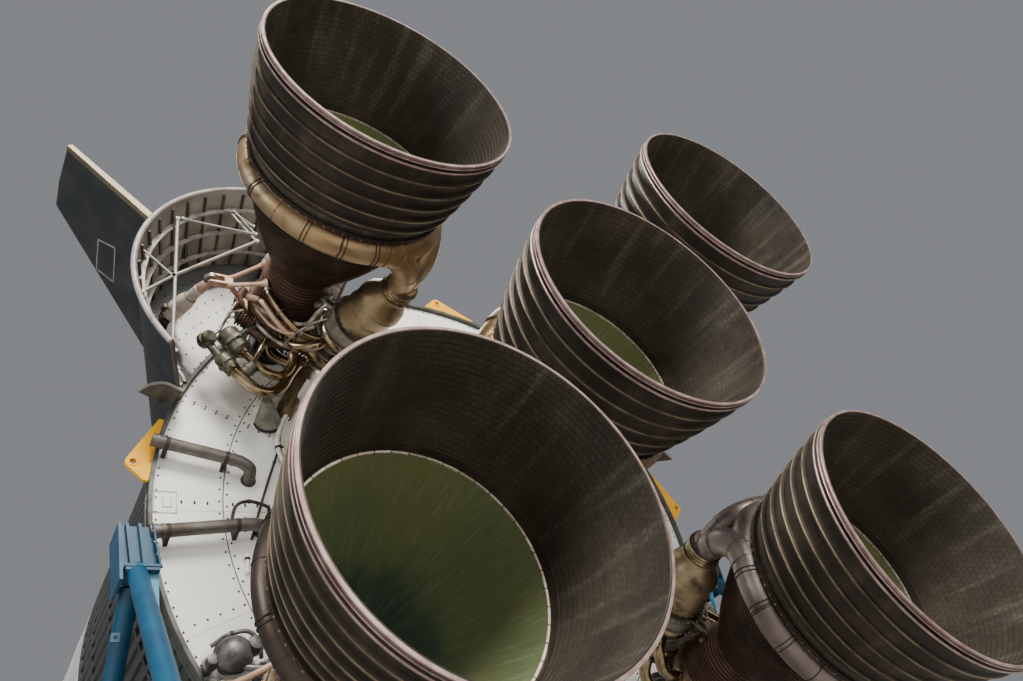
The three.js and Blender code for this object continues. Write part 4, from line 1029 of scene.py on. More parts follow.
fairing_black = Finish("fairing_paint", metallic=0.05)
_, along, _ = fairing_black.turns()
wear = fairing_black.noise(1.4, 6)
rubs = fairing_black.noise(9, 5)
lines = along.near(0.9, 0.012)
dusk = fairing_black.mix(wear.step(0.45, 0.75), (0.009, 0.011, 0.013), (0.026, 0.027, 0.027))
fairing_black.looks(base_color=fairing_black.mix(rubs.step(0.66, 0.82) * 0.5, dusk, (0.085, 0.08, 0.07)))
fairing_black.looks(roughness=0.42 + wear * 0.3)
fairing_black.bump(fairing_black.noise(1.2, 2) - lines, 0.006, 0.4)

fairing_beige = Finish("fairing_inside", metallic=0.25)
patchy = fairing_beige.noise(1.7, 5)
angle, along, _ = fairing_beige.turns()
runs = fairing_beige.noise(1.0, 4, fairing_beige.vector(angle * 40, along * 0.8, 0.0))
beige = fairing_beige.mix(patchy.step(0.38, 0.66), (0.31, 0.28, 0.24), (0.19, 0.168, 0.14))
fairing_beige.looks(base_color=fairing_beige.mix(runs.step(0.54, 0.76), beige, (0.095, 0.082, 0.068)))
fairing_beige.looks(roughness=0.45 + patchy * 0.2)
fairing_beige.bump(runs, 0.004, 0.4)

tube_pale = mottled("pale_tube", (4, 5), (0.42, 0.74), (0.345, 0.32, 0.285), (0.185, 0.165, 0.14),
                    0.36, 0.2, metallic=0.2)
edge_brown = mottled("sheet_edges", (2.5, 5), (0.4, 0.7), (0.070, 0.056, 0.042),
                     (0.135, 0.118, 0.095), 0.45, 0.2, metallic=0.3)

bay_floor = Finish("bay_floor_paint", metallic=0.0)
x, y, z = bay_floor.axes()
from_engine = ((x.math("ABSOLUTE") + left.x) ** 2 + (z - left.z) ** 2) ** 0.5
murk = bay_floor.noise(2.0, 4)
floor_white = bay_floor.mix(murk.step(0.45, 0.8), (0.80, 0.775, 0.72), (0.62, 0.58, 0.50))
# Painted shade: farther than about 1.62 to 1.70 m from the engine's axis the floor turns near black, for
# the fairing's shade on it
painted_shade_far_out = (from_engine + murk * 0.3).step(1.62, 1.70)
bay_floor.looks(base_color=bay_floor.mix(painted_shade_far_out, floor_white, (0.060, 0.062, 0.056)))
bay_floor.looks(roughness=0.42 + murk * 0.2)

finishes = [fairing_black, fairing_beige, tube_pale, edge_brown, bay_floor, black_head]
for hand, mirror in (("left", 1), ("right", -1)):
    sheet = Shell().include(fairing, Matrix.Diagonal((mirror, 1, 1, 1)))
    fasten("fairing_sheet_" + hand, sheet, finishes, "black_paint", "fairing_" + hand)


# Fins
# Each fin stands on its fairing: two skins over ribs, with a sharp leading edge, a crease at the
# thickest chord and a blunt trailing edge of bare metal. A blank framed plate is on each face.
FIN_ROOT, FIN_TIP = 5.600, 9.650
# columns: y at the root's and the tip's distance from the centre line, half thickness at both
FIN_LINES = {"lead": (8.760, 6.600, 0.018, 0.018), "crease": (6.080, 6.010, 0.200, 0.085),
             "trail": (5.180, 5.195, 0.068, 0.036)}


def fin_at(line, out):
    """The y and the half thickness of one of the fin's lines at a distance from the centre line."""
    y0, y1, half0, half1 = FIN_LINES[line]
    share = (out - FIN_ROOT) / (FIN_TIP - FIN_ROOT)
    return y0 + (y1 - y0) * share, half0 + (half1 - half0) * share


def fin_seat(line):
    """Where a line of the fin meets the fairing's cone."""
    out = FIN_ROOT
    for _ in range(20):
        out = ENGINE_CIRCLE + fairing_r(fin_at(line, out)[0])
    return out


def fin_face(out, y, side, proud=0.0):
    """A point on a face of the fin."""
    lead, crease, trail = (fin_at(line, out) for line in ("lead", "crease", "trail"))
    near, far = (lead, crease) if y > crease[0] else (crease, trail)
    half = near[1] + (far[1] - near[1]) * (near[0] - y) / (near[0] - far[0])
    return Vector((out, y, side * (half + proud)))


fin = Shell()
rows = []
for share in (0, 0.25, 0.5, 0.75, 0.985, 1.0):
    loop = []
    for side, lines in ((1, ("lead", "crease", "trail")), (-1, ("trail", "crease", "lead"))):
        for line in lines:
            seat = fin_seat(line) - 0.035
            out = seat + (FIN_TIP - seat) * share
            y, half = fin_at(line, out)
            loop.append(Vector((out, y, side * (half if share < 1 else half * 0.7))))
    rows.append(loop)
fin.net(rows, lambda i, j: 1 if j in (2, 5) else 0, ends=True)
TRAIL_CAP, CAP_LAP = 0.030, 0.07
cap = []
for share in (0.0, 1.0):
    seat = fin_seat("trail") - 0.02
    out = seat + (FIN_TIP - 0.01 - seat) * share
    y, half = fin_at("trail", out)
    cap.append([(out, y - TRAIL_CAP, -half - 0.012), (out, y + CAP_LAP, -half - 0.016),
                (out, y + CAP_LAP, half + 0.016), (out, y - TRAIL_CAP, half + 0.012)])
fin.net(cap, 1, ends=True)
# columns: the line that a row of rivets follows, how far in front of it
RIVET_ROWS = [("crease", 0.10), ("crease", -0.10), ("trail", 0.14), ("lead", -0.16)]
PLATE_CORNERS = [(8.478, 6.463), (8.060, 6.300), (7.937, 7.130), (8.400, 7.200)]
for side in (-1, 1):
    for line, offset in RIVET_ROWS:
        out = fin_seat(line) + 0.12
        while out < FIN_TIP - 0.08:
            spot = fin_face(out, fin_at(line, out)[0] + offset, side)
            fin.stud(spot, (0, 0, side), 0.011, 0.005, 5, 0)
            out += 0.11
    for one, two in zip(PLATE_CORNERS, PLATE_CORNERS[1:] + PLATE_CORNERS[:1]):
        fin.pipe([fin_face(*one, side, 0.002), fin_face(*two, side, 0.002)], 0.017, 4, 2)

fin_dark = Finish("fin_skin", metallic=0.1)
x, y, z = fin_dark.axes()
grime = fin_dark.noise(1.5, 6)
streak = fin_dark.noise(1.0, 4, fin_dark.vector(x * 0.6, y * 5, z))
dark = fin_dark.mix(grime.step(0.40, 0.75), (0.017, 0.021, 0.020), (0.036, 0.039, 0.035))
fin_dark.looks(base_color=fin_dark.mix(streak.step(0.60, 0.85) * 0.5, dark, (0.075, 0.072, 0.064)))
fin_dark.looks(roughness=0.34 + grime * 0.25)
ribs = x.near(0.82, 0.010)
fin_dark.bump(fin_dark.noise(1.5, 2) - ribs * 0.6, 0.006, 0.35)
bare_metal = Finish("bare_aluminium", metallic=0.8)
x, y, z = bare_metal.axes()
rolled = bare_metal.noise(1.0, 5, bare_metal.vector(x * 1.5, y * 30, z * 30))
sheen = rolled.step(0.35, 0.7)
bare_metal.looks(base_color=bare_metal.mix(sheen, (0.29, 0.245, 0.160), (0.15, 0.125, 0.085)))
bare_metal.looks(roughness=0.30 + rolled * 0.25)
fin_mesh = fin.mesh("fin_skins", [fin_dark, bare_metal, tube_pale], sharp=FLAT_PLATES)
for hand, engine in (("left", outer_engines[0]), ("right", outer_engines[1])):
    place = STAGE @ Matrix.Rotation(math.radians(-engine.outboard), 4, "Y")
    hang("fin_skins_" + hand, fin_mesh, place, "stage", "black_paint", "fin_" + hand)


# Thrust chambers
# Brazed tubes make the bell's upper half, the throat and the barrel; hat-shaped bands hold them in.
# Inside they are painted green and show as fine streaks. The injector's domes close the top.
# Distances behind the gimbal are t, so y is -t in an engine's own axes.
EXIT_T, JOINT_T, THROAT_T = 5.470, 3.806, 1.780
EXIT_R, RIM_R, THROAT_R = 1.780, 1.834, 0.460
BEND_R, BEND_T = 1.491, 3.064
BELL_STEPS = 240
bell_line = []
for step in range(BELL_STEPS + 1):
    s = step / BELL_STEPS
    near, mid, far = (1 - s) ** 2, 2 * s * (1 - s), s * s
    t = near * THROAT_T + mid * BEND_T + far * EXIT_T
    bell_line.append((t, near * THROAT_R + mid * BEND_R + far * EXIT_R))


def bell_r(t):
    """The bell's inner radius at a distance behind the gimbal."""
    for (t0, r0), (t1, r1) in zip(bell_line, bell_line[1:]):
        if t <= t1:
            return r0 + (r1 - r0) * (t - t0) / (t1 - t0)
    return EXIT_R


HAT_START, HAT_END, HAT_PITCH, HAT_HEIGHT = 0.985, 3.30, 0.058, 0.022
HAT_SHAPE = [(-0.014, 0), (-0.008, HAT_HEIGHT), (0.008, HAT_HEIGHT), (0.014, 0)]
TUBES = 178
BARREL_R, BARREL_END_T, TUBE_PROUD = 0.545, 1.45, 0.034
CHAMBER_TUBES, CHAMBER_GREEN, CASTING, HAT_CREST_HIGHLIGHT = range(4)  # the chamber's finishes, in order
# columns: distance behind the gimbal, radius of the outside over the domes and the injector
TOP_OUTSIDE = [
    (0.190, 0.200), (0.192, 0.270), (0.230, 0.300), (0.330, 0.440), (0.420, 0.540), (0.500, 0.605),
    (0.520, 0.638), (0.575, 0.640), (0.580, 0.615), (0.640, 0.612), (0.645, 0.640), (0.700, 0.640),
    (0.705, 0.600), (0.760, 0.598), (0.790, 0.632), (0.850, 0.640), (0.905, 0.625), (0.940, 0.572),
]


def tubes_r(t):
    """The radius over the chamber's tubes."""
    if t < BARREL_END_T:
        return BARREL_R
    if t < THROAT_T:
        return BARREL_R - 0.045 * math.sin((t - BARREL_END_T) / 0.33 * math.pi / 2)
    return bell_r(t) + TUBE_PROUD + 0.006 * min(1, (2.1 - t) / 0.32 if t < 2.1 else 0)


chamber = Shell()
outside = [(r, -t) for t, r in TOP_OUTSIDE]
outside_finish = [CASTING] * len(outside)
for hat in range(int((HAT_END - HAT_START) / HAT_PITCH)):
    t = HAT_START + hat * HAT_PITCH
    outside += [(tubes_r(t + along) + height, -t - along) for along, height in HAT_SHAPE]
    # The top of each hat band takes a lighter finish: a painted highlight along its crest
    outside_finish += [CHAMBER_TUBES, HAT_CREST_HIGHLIGHT, CHAMBER_TUBES, CHAMBER_TUBES]
outside += [(tubes_r(3.35), -3.35), (tubes_r(3.72), -3.72), (tubes_r(3.74) + 0.030, -3.745)]
outside += [(bell_r(3.76) + 0.072, -3.75), (bell_r(3.80) + 0.074, -3.800)]
outside_finish += [CHAMBER_TUBES] * 5
inside = [(bell_r(3.80), -3.800)]
bell_ts = (3.6, 3.4, 3.2, 3.0, 2.8, 2.6, 2.4, 2.25, 2.1, 2.0, 1.9, 1.84, 1.79)
inside += [(bell_r(t), -t) for t in bell_ts]
inside += [(0.452, -1.74), (0.456, -1.66), (0.474, -1.56), (0.494, -1.46), (0.506, -1.36), (0.508, -0.88)]
outside_finish += [CHAMBER_GREEN] * (len(inside) - 1)
chamber.turned(outside + inside, 96, outside_finish, ends=True)
# rings between the injector's baffles, deep in the barrel
for loop in range(4):
    chamber.ring(0.10 + 0.11 * loop, -0.884, 0.008, 48, 6, CHAMBER_GREEN)
for count, t, r in ((36, 0.548, 0.640), (36, 0.672, 0.640), (72, 3.775, bell_r(3.775) + 0.070)):
    chamber.bolts(count, r, -t, (0.016, 0.016), CASTING)

hat_brown = Finish("chamber_tubes_outside", metallic=0.55)
rust = hat_brown.noise(2.2, 5)
angle, _, radius = hat_brown.turns()
brown = hat_brown.mix(rust.step(0.35, 0.68), (0.030, 0.022, 0.017), (0.085, 0.042, 0.026))
red = radius.step(0.95, 0.62) * 0.6
hat_brown.looks(base_color=hat_brown.mix(red, brown, (0.105, 0.056, 0.037)), roughness=0.40 + rust * 0.25)
hat_brown.bump((angle * TUBES).math("SINE") * 0.5 + 0.5, 0.006, 0.6)

GREEN, TEAL, MOSS = (0.150, 0.190, 0.092), (0.060, 0.095, 0.068), (0.195, 0.210, 0.090)
UMBER, GREEN_SHADOW, GREEN_PALE = (0.055, 0.055, 0.040), (0.030, 0.038, 0.026), (0.34, 0.38, 0.25)
green = Finish("chamber_inside", metallic=0.3)
angle, along, _ = green.turns()
fine = green.noise(1.0, 6, green.vector(angle * 75, along * 1.3, 0), 0.75)
broad = green.noise(0.75, 3)
patch = green.noise(1.5, 4, green.vector(angle * 3, along * 1.5, 3.0))
deep = (along * -1 + patch * 0.8).step(3.1, 2.5)
base = green.mix(broad.step(0.40, 0.62), GREEN, MOSS)
base = green.mix(deep, base, TEAL)
base = green.mix((along * -1).step(2.0, 1.6), base, UMBER)
base = green.mix(fine.step(0.47, 0.28) * (deep * 0.55 + 0.45), base, GREEN_SHADOW)
green.looks(base_color=green.mix(fine.step(0.53, 0.68) * 0.8, base, GREEN_PALE))
green.looks(roughness=0.38 + fine * 0.3)
green.bump((angle * (2 * TUBES)).math("SINE") * 0.5 + 0.5, 0.006, 0.7)

dome_metal = mottled("dome_castings", (5.5, 5), (0.35, 0.65), (0.085, 0.062, 0.040),
                     (0.28, 0.205, 0.125), 0.28, 0.3, (40, 3, 0.004, 0.4), metallic=0.8)
# Painted highlight: a lighter brown for the hat bands' crests
hat_crest_highlight = mottled("hat_band_crests", (3.5, 4), (0.4, 0.65), (0.050, 0.032, 0.022),
                    (0.150, 0.085, 0.055), 0.36, 0.2, metallic=0.65)


def hang_on_engines(label, mesh, slot, node):
    """Hangs one mesh on every engine; label and node are the names' first parts."""
    for engine in engines:
        nodes = [node + engine.name] if node else []
        hang(label + engine.name, mesh, engine.place, engine.body, slot, *nodes)


chamber_mesh = chamber.mesh("chamber", [hat_brown, green, dome_metal, hat_crest_highlight])
hang_on_engines("chamber_", chamber_mesh, "chamber_metal", "thrust_chamber_")

# Outriggers: welded struts, copper in colour, hold out each actuator's ball: a double one from the
# dome and a pair from the barrel. Two yoke lugs on the dome take the gimbal block's other pins.
# columns: a foot's distance behind the gimbal, its degrees, how far aside the strut ends, its radius
OUTRIGGER_FEET = [(0.55, 0, 0.036, 0.030), (0.55, 0, -0.036, 0.030), (1.45, 25, 0.070, 0.037),
                  (1.45, -25, -0.070, 0.037)]
# columns: share of a strut's length, how much wider it is there
STRUT_SHAPE = [(0.0, 1.5), (0.10, 1.4), (0.22, 1), (0.80, 1), (0.92, 1.3), (1.0, 1.3)]
APEX_BACK, FOOT_R = 0.260, 0.560
arm = Shell()
apex = Vector((ENGINE_BALL_R - APEX_BACK, -ENGINE_BALL_T, 0))
for t, degrees, aside, tube in OUTRIGGER_FEET:
    a = math.radians(degrees)
    out = Vector((math.cos(a), 0, math.sin(a)))
    foot = out * FOOT_R + Vector((0, -t, 0 if degrees else aside))
    end = apex + Vector((0, 0, aside))
    line = [foot.lerp(end, share) for share, _ in STRUT_SHAPE]
    arm.pipe(line, [tube * wide for _, wide in STRUT_SHAPE], 16)
    pad = foot + out * 0.03 + (end - foot).normalized() * 0.04
    arm.pipe([foot, pad], [tube * 2.4, tube * 1.8], 16)
ball_place = axes_at((ENGINE_BALL_R, -ENGINE_BALL_T, 0), (-1, 0, 0), (0, 1, 0))
arm.include(ball_fork(APEX_BACK + BALL_R), ball_place)
arm.block((-0.065, -0.065, -0.085), (0.065, 0.065, 0.085), Matrix.Translation(apex))
outriggers = Shell()
for degrees in (-45, 45):
    outriggers.include(arm, Matrix.Rotation(math.radians(-degrees), 4, "Y"))
copper = Finish("copper_struts", metallic=0.55)
tan = copper.noise(3.5, 5)
streaks = copper.noise(12, 3)
warm = copper.mix(tan.step(0.35, 0.7), (0.62, 0.40, 0.29), (0.40, 0.24, 0.165))
copper.looks(base_color=copper.mix(streaks.step(0.62, 0.80) * 0.6, warm, (0.16, 0.095, 0.065)))
copper.looks(roughness=0.32 + tan * 0.25)
outrigger_mesh = outriggers.mesh("outriggers", [copper, bolt_steel])

YOKE_BACK = 0.230
yoke = Shell()
for side in (-1, 1):
    low, high = sorted((side * FORK_IN, side * FORK_OUT))
    yoke.slab(lug_outline(FORK_HALF, YOKE_BACK), low, high, Matrix.Rotation(-math.pi / 2, 4, "Z"))
    yoke.stud((0, 0, side * FORK_OUT), (0, 0, side), *PIN_HEAD)
yoke_mesh = yoke.mesh("gimbal_yoke", [dark_paint, bolt_steel])
for engine in outer_engines:
    hang("outriggers_" + engine.name, outrigger_mesh, engine.place, engine.body, "chamber_metal")
    hang("gimbal_yoke_" + engine.name, yoke_mesh, STAGE @ engine.gimbal, engine.body, "grey_steel")
neck = [(0.30, -0.24), (0.30, 0.05), (0.335, 0.07), (0.335, 0.188), (0.30, 0.188)]
neck_mesh = Shell().turned(neck, 48, closed=True).mesh("center_dome_neck", [dark_paint])
hang("center_dome_neck", neck_mesh, engines[0].place, "stage", "grey_steel")


# Nozzle extensions
# The lower half of each bell: a nickel-alloy skin lined with rows of overlapping shingles, with six
# stiffening bands outside and a two-lipped rim. It is bolted to the chamber's tubes at the joint.
LINER_ROWS, LINER_LAP, LINER_EASE, SKIN = 22, 0.007, 0.022, 0.016
BANDS, FIRST_BAND_T, BAND_PITCH = 6, 5.340, 0.256
# columns: distance along the bell from the band's middle, height over the skin
BAND_SHAPE = [(-0.060, 0), (-0.030, 0.010), (-0.017, 0.052), (-0.010, 0.060), (0.010, 0.060),
              (0.017, 0.052), (0.030, 0.010), (0.060, 0)]
CREST = {2, 3, 4}  # the stretches of a band given a lighter finish: a painted highlight along its crest
LINER, BELL_SKIN, BAND_CREST_HIGHLIGHT, RIM, STRAP = range(5)  # the bell's finishes, in order
# columns: t, radius, of the rim's two lips and the groove between them
RIM_SHAPE = [
    (5.398, 1.800), (5.402, 1.834), (5.410, 1.837), (5.416, 1.832), (5.419, 1.806),
    (5.444, 1.806), (5.448, 1.831), (5.454, RIM_R), (5.466, RIM_R), (EXIT_T, RIM_R - 0.004),
    (EXIT_T, EXIT_R + 0.018), (EXIT_T, EXIT_R + 0.004), (5.466, EXIT_R),
]
LEDGE_T = 0.3  # how far the joint's ledge eases the liner inwards


def liner_point(t, lap):
    ease = LINER_EASE * max(0, 1 - (t - JOINT_T) / LEDGE_T)
    return bell_r(t) + lap + ease, -t


liner_top = JOINT_T + 0.006
row_depth = (EXIT_T - 0.004 - liner_top) / LINER_ROWS
liner = []
for row in range(LINER_ROWS):
    liner.append(liner_point(liner_top + row * row_depth, LINER_LAP))
    liner.append(liner_point(liner_top + (row + 1) * row_depth, 0))
joint_r = bell_r(JOINT_T)
outside = [(joint_r + 0.075, -JOINT_T - 0.002), (joint_r + 0.078, -JOINT_T - 0.028)]
outside += [(joint_r + 0.024, -JOINT_T - 0.032)]
outside_finish = [BELL_SKIN, BELL_SKIN]
for band in reversed(range(BANDS)):
    middle = FIRST_BAND_T - band * BAND_PITCH
    for i, (along, height) in enumerate(BAND_SHAPE):
        outside.append((bell_r(middle + along) + SKIN + height, -middle - along))
        # The crest stretches take a lighter finish, a painted highlight; the band nearest the exit takes
        # the rim's finish there
        wear_and_crest_highlight = BAND_CREST_HIGHLIGHT if band else RIM
        outside_finish.append(wear_and_crest_highlight if i - 1 in CREST else BELL_SKIN)
outside += [(r, -t) for t, r in RIM_SHAPE]
outside_finish += [BELL_SKIN] + [RIM] * (len(RIM_SHAPE) - 3) + [BELL_SKIN] * 2
outside_finish = [LINER] * len(liner) + outside_finish[::-1] + [BELL_SKIN]
extension = Shell().turned(liner + outside[::-1], 128, outside_finish, closed=True)

# The joint's ledge inside the bell: bright straps that cover the tubes' ends
STRAPS, STRAP_GAP_DEG = 44, 0.5
LEDGE = [(1.452, -3.802), (1.452, -3.826), (1.480, -3.828), (1.480, -3.800)]
for strap in range(STRAPS):
    first, width = 360 / STRAPS * strap, 360 / STRAPS - STRAP_GAP_DEG
    extension.turned(LEDGE, 3, STRAP, arc=(first, first + width))

LINER_DARK, LINER_WARM = (0.056, 0.045, 0.033), (0.092, 0.075, 0.053)
LINER_GREY = (0.190, 0.168, 0.138)
liner_finish = Finish("woven_liner", metallic=0.5)
angle, along, _ = liner_finish.turns()
TICK = 0.084  # a shingle's length round the bell
weave = liner_finish.node(
    "TexBrick",
    {"offset": 0.5, "squash": 1.0},
    {
        "Vector": liner_finish.vector(angle * 1.65, along * -1 - liner_top, 0),
        "Color1": (0.88, 0.88, 0.88), "Color2": (1.12, 1.12, 1.12), "Mortar": (0.50, 0.50, 0.50),
        "Scale": 1.0, "Mortar Size": 0.006, "Mortar Smooth": 0.4, "Bias": 0.0,
        "Brick Width": TICK, "Row Height": row_depth,
    },
)
stains = liner_finish.noise(0.9, 4)
streaks = liner_finish.noise(1.0, 3, liner_finish.vector(angle * 9, along * 0.5, 0))
warm = liner_finish.mix(stains.step(0.36, 0.68), LINER_DARK, LINER_WARM)
wear_and_crest_highlight = liner_finish.mix(streaks.step(0.50, 0.80) * 0.6, warm, LINER_GREY)
multiply = {"data_type": "RGBA", "blend_type": "MULTIPLY"}
liner_finish.looks(base_color=liner_finish.node("Mix", multiply, {0: 1.0, 6: wear_and_crest_highlight, 7: weave}, 2))
liner_finish.looks(roughness=0.44 + stains * 0.2)
liner_finish.bump(weave, 0.004, 0.8)

BAND_BROWN, BAND_GOLD = (0.026, 0.020, 0.014), (0.075, 0.056, 0.036)
skin_finish = Finish("heat_browned_skin", metallic=0.55)
mottle = skin_finish.noise(1.6, 5)
angle, along, radius = skin_finish.turns()
drips = skin_finish.noise(1.0, 4, skin_finish.vector(angle * 7, along * 0.6, radius))
browned = mottle.step(0.35, 0.70) * drips.step(0.3, 0.7)
skin_finish.looks(base_color=skin_finish.mix(browned, BAND_BROWN, BAND_GOLD))
skin_finish.looks(roughness=0.46 + drips * 0.2)
skin_finish.bump(skin_finish.noise(9, 3), 0.006, 0.5)
# Painted highlight: a lighter gold for the bands' crests
crest_highlight_finish = mottled("band_crest", (3.0, 5), (0.35, 0.65), (0.080, 0.058, 0.036),
                       (0.200, 0.150, 0.092), 0.42, 0.2, metallic=0.8)
rim_finish = Finish("rim_steel", metallic=0.6)
scuffs = rim_finish.noise(6.0, 6)
marks = rim_finish.noise(34, 2)
pink = rim_finish.mix(scuffs.step(0.3, 0.7), (0.235, 0.155, 0.135), (0.400, 0.290, 0.260))
rim_finish.looks(base_color=rim_finish.mix(marks.step(0.66, 0.74), pink, (0.12, 0.08, 0.06)))
rim_finish.looks(roughness=0.34 + scuffs * 0.2)
strap_finish = mottled("joint_straps", (5, 3), (0.35, 0.7), (0.60, 0.50, 0.38), (0.88, 0.80, 0.66),
                       0.34, 0.2, metallic=0.7)

bell_finishes = [liner_finish, skin_finish, crest_highlight_finish, rim_finish, strap_finish]
extension_mesh = extension.mesh("bell_extension", bell_finishes)
hang_on_engines("bell_extension_", extension_mesh, "nozzle_metal", "nozzle_extension_")


# Exhaust manifolds
# A duct of welded stainless sections carries the turbine's exhaust round the bell. It narrows away
# from its two inlets, and pairs of wire clamps hold it. A bellows joins the inlets to the exchanger.
MANIFOLD_T, MANIFOLD_R = 3.530, 1.420
TUBE_WIDE, TUBE_NARROW, TUBE_SIDES = 0.212, 0.155, 24
SEAM_DEGREES = [18, 54, 90, 126, 162, 198, 234, 270, 306, 342]
CLAMP_DEGREES = [32, 72, 108, 128, 146, 214, 232, 252, 288, 328]
PUMP_START, PUMP_END = Vector((-0.880, -0.430, 0)), Vector((-1.560, -2.650, 0))
DUCT, WELD, WIRE, FOLDS, EXCHANGER_WALL = range(5)  # the duct's finishes, in order


def manifold_ring(degrees, grow=0.0):
    """The duct's cross-section at an angle from outboard; its inner side lies on the bell."""
    a = math.radians(degrees)
    tube = TUBE_NARROW + (TUBE_WIDE - TUBE_NARROW) * (1 - math.cos(a)) / 2 + grow
    loop = []
    for k in range(TUBE_SIDES):
        b = 2 * math.pi * k / TUBE_SIDES
        t = MANIFOLD_T + tube * math.sin(b)
        r = max(MANIFOLD_R + tube * math.cos(b), tubes_r(t) + 0.004)
        loop.append(Vector((r * math.cos(a), -t, r * math.sin(a))))
    return loop


duct = Shell()
duct.net([manifold_ring(3 * k) for k in range(120)], DUCT, closed=True)
for middle in SEAM_DEGREES:
    bead = [manifold_ring(middle + 0.3 * d, 0.005 * (2 - abs(d)) - 0.004) for d in range(-2, 3)]
    duct.net(bead, WELD)
for middle in CLAMP_DEGREES:
    for offset in (-1.2, 0.9):
        loop = manifold_ring(middle + offset, 0.005)
        duct.pipe(loop[-9:] + loop[:10], 0.0085, 6, WIRE)

# columns: x, y, z of one inlet branch, from the bellows into the ring; the other mirrors it
BRANCH = [(-1.565, -2.700, 0.030), (-1.582, -2.860, 0.070), (-1.592, -3.040, 0.140),
          (-1.580, -3.230, 0.235), (-1.510, -3.390, 0.345), (-1.400, -3.500, 0.480),
          (-1.290, -3.530, 0.640)]
BRANCH_R = 0.200
branches = Shell()
for side in (-1, 1):
    path = smooth([(x, y, z * side) for x, y, z in BRANCH], 5)
    branches.pipe(path, [BRANCH_R + 0.006 * (k / len(path)) for k in range(len(path))], 32, DUCT)
    for share in (0.42, 0.80):
        k = int(share * len(path))
        axis = (path[k + 1] - path[k]).normalized() * 0.008
        radii = [BRANCH_R + 0.003, BRANCH_R + 0.011, BRANCH_R + 0.003]
        branches.pipe([path[k] - axis, path[k], path[k] + axis], radii, 32, WELD)
# the branches are pressed flat where they would cut into the bell
for i, (x, y, z) in enumerate(branches.points):
    clear = 0.048 if -y > 3.70 else 0.027
    grow = max(1, (tubes_r(-y) + clear) / math.hypot(x, z))
    branches.points[i] = (x * grow, y, z * grow)
duct.include(branches, Matrix())


def aimed(origin, axis):
    """The place whose Y axis points along a direction."""
    turn = Vector((0, 1, 0)).rotation_difference(Vector(axis).normalized())
    return Matrix.Translation(origin) @ turn.to_matrix().to_4x4()


bellows = Shell()
for fold in range(3):
    bellows.ring(0.236, 0.040 + 0.052 * fold, 0.024, 40, 8, FOLDS)
for y, r in ((-0.005, 0.256), (0.185, 0.256), (0.235, 0.244)):
    bellows.ring(r, y, 0.013, 40, 8, WELD)
liner = [(0.05, -0.02), (0.234, -0.02), (0.236, 0.20), (0.228, 0.26), (0.05, 0.28)]
bellows.turned(liner, 40, DUCT, ends=True)
bellows_axis = Vector((-1.61, -2.88, 0)) - Vector((-1.565, -2.62, 0))
duct.include(bellows, aimed((-1.562, -2.600, 0), bellows_axis))

# The exchanger: a fat cylinder on the pump's line, with welded rings and a cast inlet
to_pump = aimed(PUMP_START, PUMP_END - PUMP_START)
PUMP_LINE = (PUMP_END - PUMP_START).length
FLANGE_BOLT = (0.015, 0.014)
# columns: share of the pump's line, radius
EXCHANGER = [
    (0.566, 0.300), (0.568, 0.415), (0.585, 0.418), (0.590, 0.398), (0.680, 0.400), (0.684, 0.412),
    (0.694, 0.412), (0.698, 0.400), (0.800, 0.400), (0.804, 0.414), (0.816, 0.414), (0.820, 0.402),
    (0.862, 0.392), (0.905, 0.330), (0.935, 0.290), (0.965, 0.262), (0.970, 0.282), (0.985, 0.282),
    (0.990, 0.246), (1.000, 0.240),
]
tank = Shell()
tank.turned([(r, share * PUMP_LINE) for share, r in EXCHANGER], 48, EXCHANGER_WALL, ends=True)
tank.bolts(28, 0.415, 0.577 * PUMP_LINE, FLANGE_BOLT, WIRE)
duct.include(tank, to_pump)


def duct_finish(name, gold, brown, pale, soot_from=0.50):
    """Heat-tinted stainless steel under soot."""
    made = Finish(name, metallic=0.8)
    tint = made.noise(0.9, 4)
    soot = made.noise(2.6, 6)
    body = made.mix(tint.step(0.36, 0.66), gold, pale)
    made.looks(base_color=made.mix(soot.step(soot_from, soot_from + 0.24), body, brown))
    made.looks(roughness=0.30 + soot * 0.28)
    made.bump(made.noise(7, 2), 0.008, 0.5)
    return made


gold_duct = duct_finish("straw_duct", (0.33, 0.215, 0.100), (0.11, 0.070, 0.036), (0.40, 0.305, 0.195))
# A much darker copy of the duct finish for the lower left engine: painted shade, as that engine's near side
# stands in shadow
sooty_duct = duct_finish("sooty_duct", (0.050, 0.037, 0.027), (0.018, 0.013, 0.010),
                         (0.085, 0.064, 0.048))
rosy_duct = duct_finish("rosy_duct", (0.165, 0.130, 0.113), (0.060, 0.045, 0.038), (0.26, 0.22, 0.20))
exchanger_gold = duct_finish("exchanger_wall", (0.26, 0.185, 0.092), (0.085, 0.055, 0.030),
                             (0.40, 0.31, 0.185), 0.48)
seam = mottled("weld_seam", (12, 3), (0.4, 0.6), (0.12, 0.075, 0.045), (0.30, 0.21, 0.13), 0.45,
               metallic=0.7)
clamp = mottled("clamp_wire", (15, 2), (0.4, 0.6), (0.022, 0.018, 0.015), (0.07, 0.05, 0.035), 0.5,
                metallic=0.6)
fold_gold = mottled("bellows_gold", (8, 3), (0.4, 0.65), (0.24, 0.17, 0.09), (0.52, 0.42, 0.26), 0.32,
                    metallic=0.9)
duct_meshes = {
    look: duct.mesh("exhaust_duct_" + look, [walls, seams, clamp, fold_gold, exchanger_gold])
    for look, walls, seams in (("straw", gold_duct, seam), ("sooty", sooty_duct, clamp),
                               ("rosy", rosy_duct, clamp))
}
for engine in engines:
    # The lower left engine's duct takes the darker copy, which is painted shade
    look = {"lower_left": "sooty", "lower_right": "rosy"}.get(engine.name, "straw")
    hang("exhaust_duct_" + engine.name, duct_meshes[look], engine.place, engine.body, "duct_metal",
         "exhaust_manifold_" + engine.name)


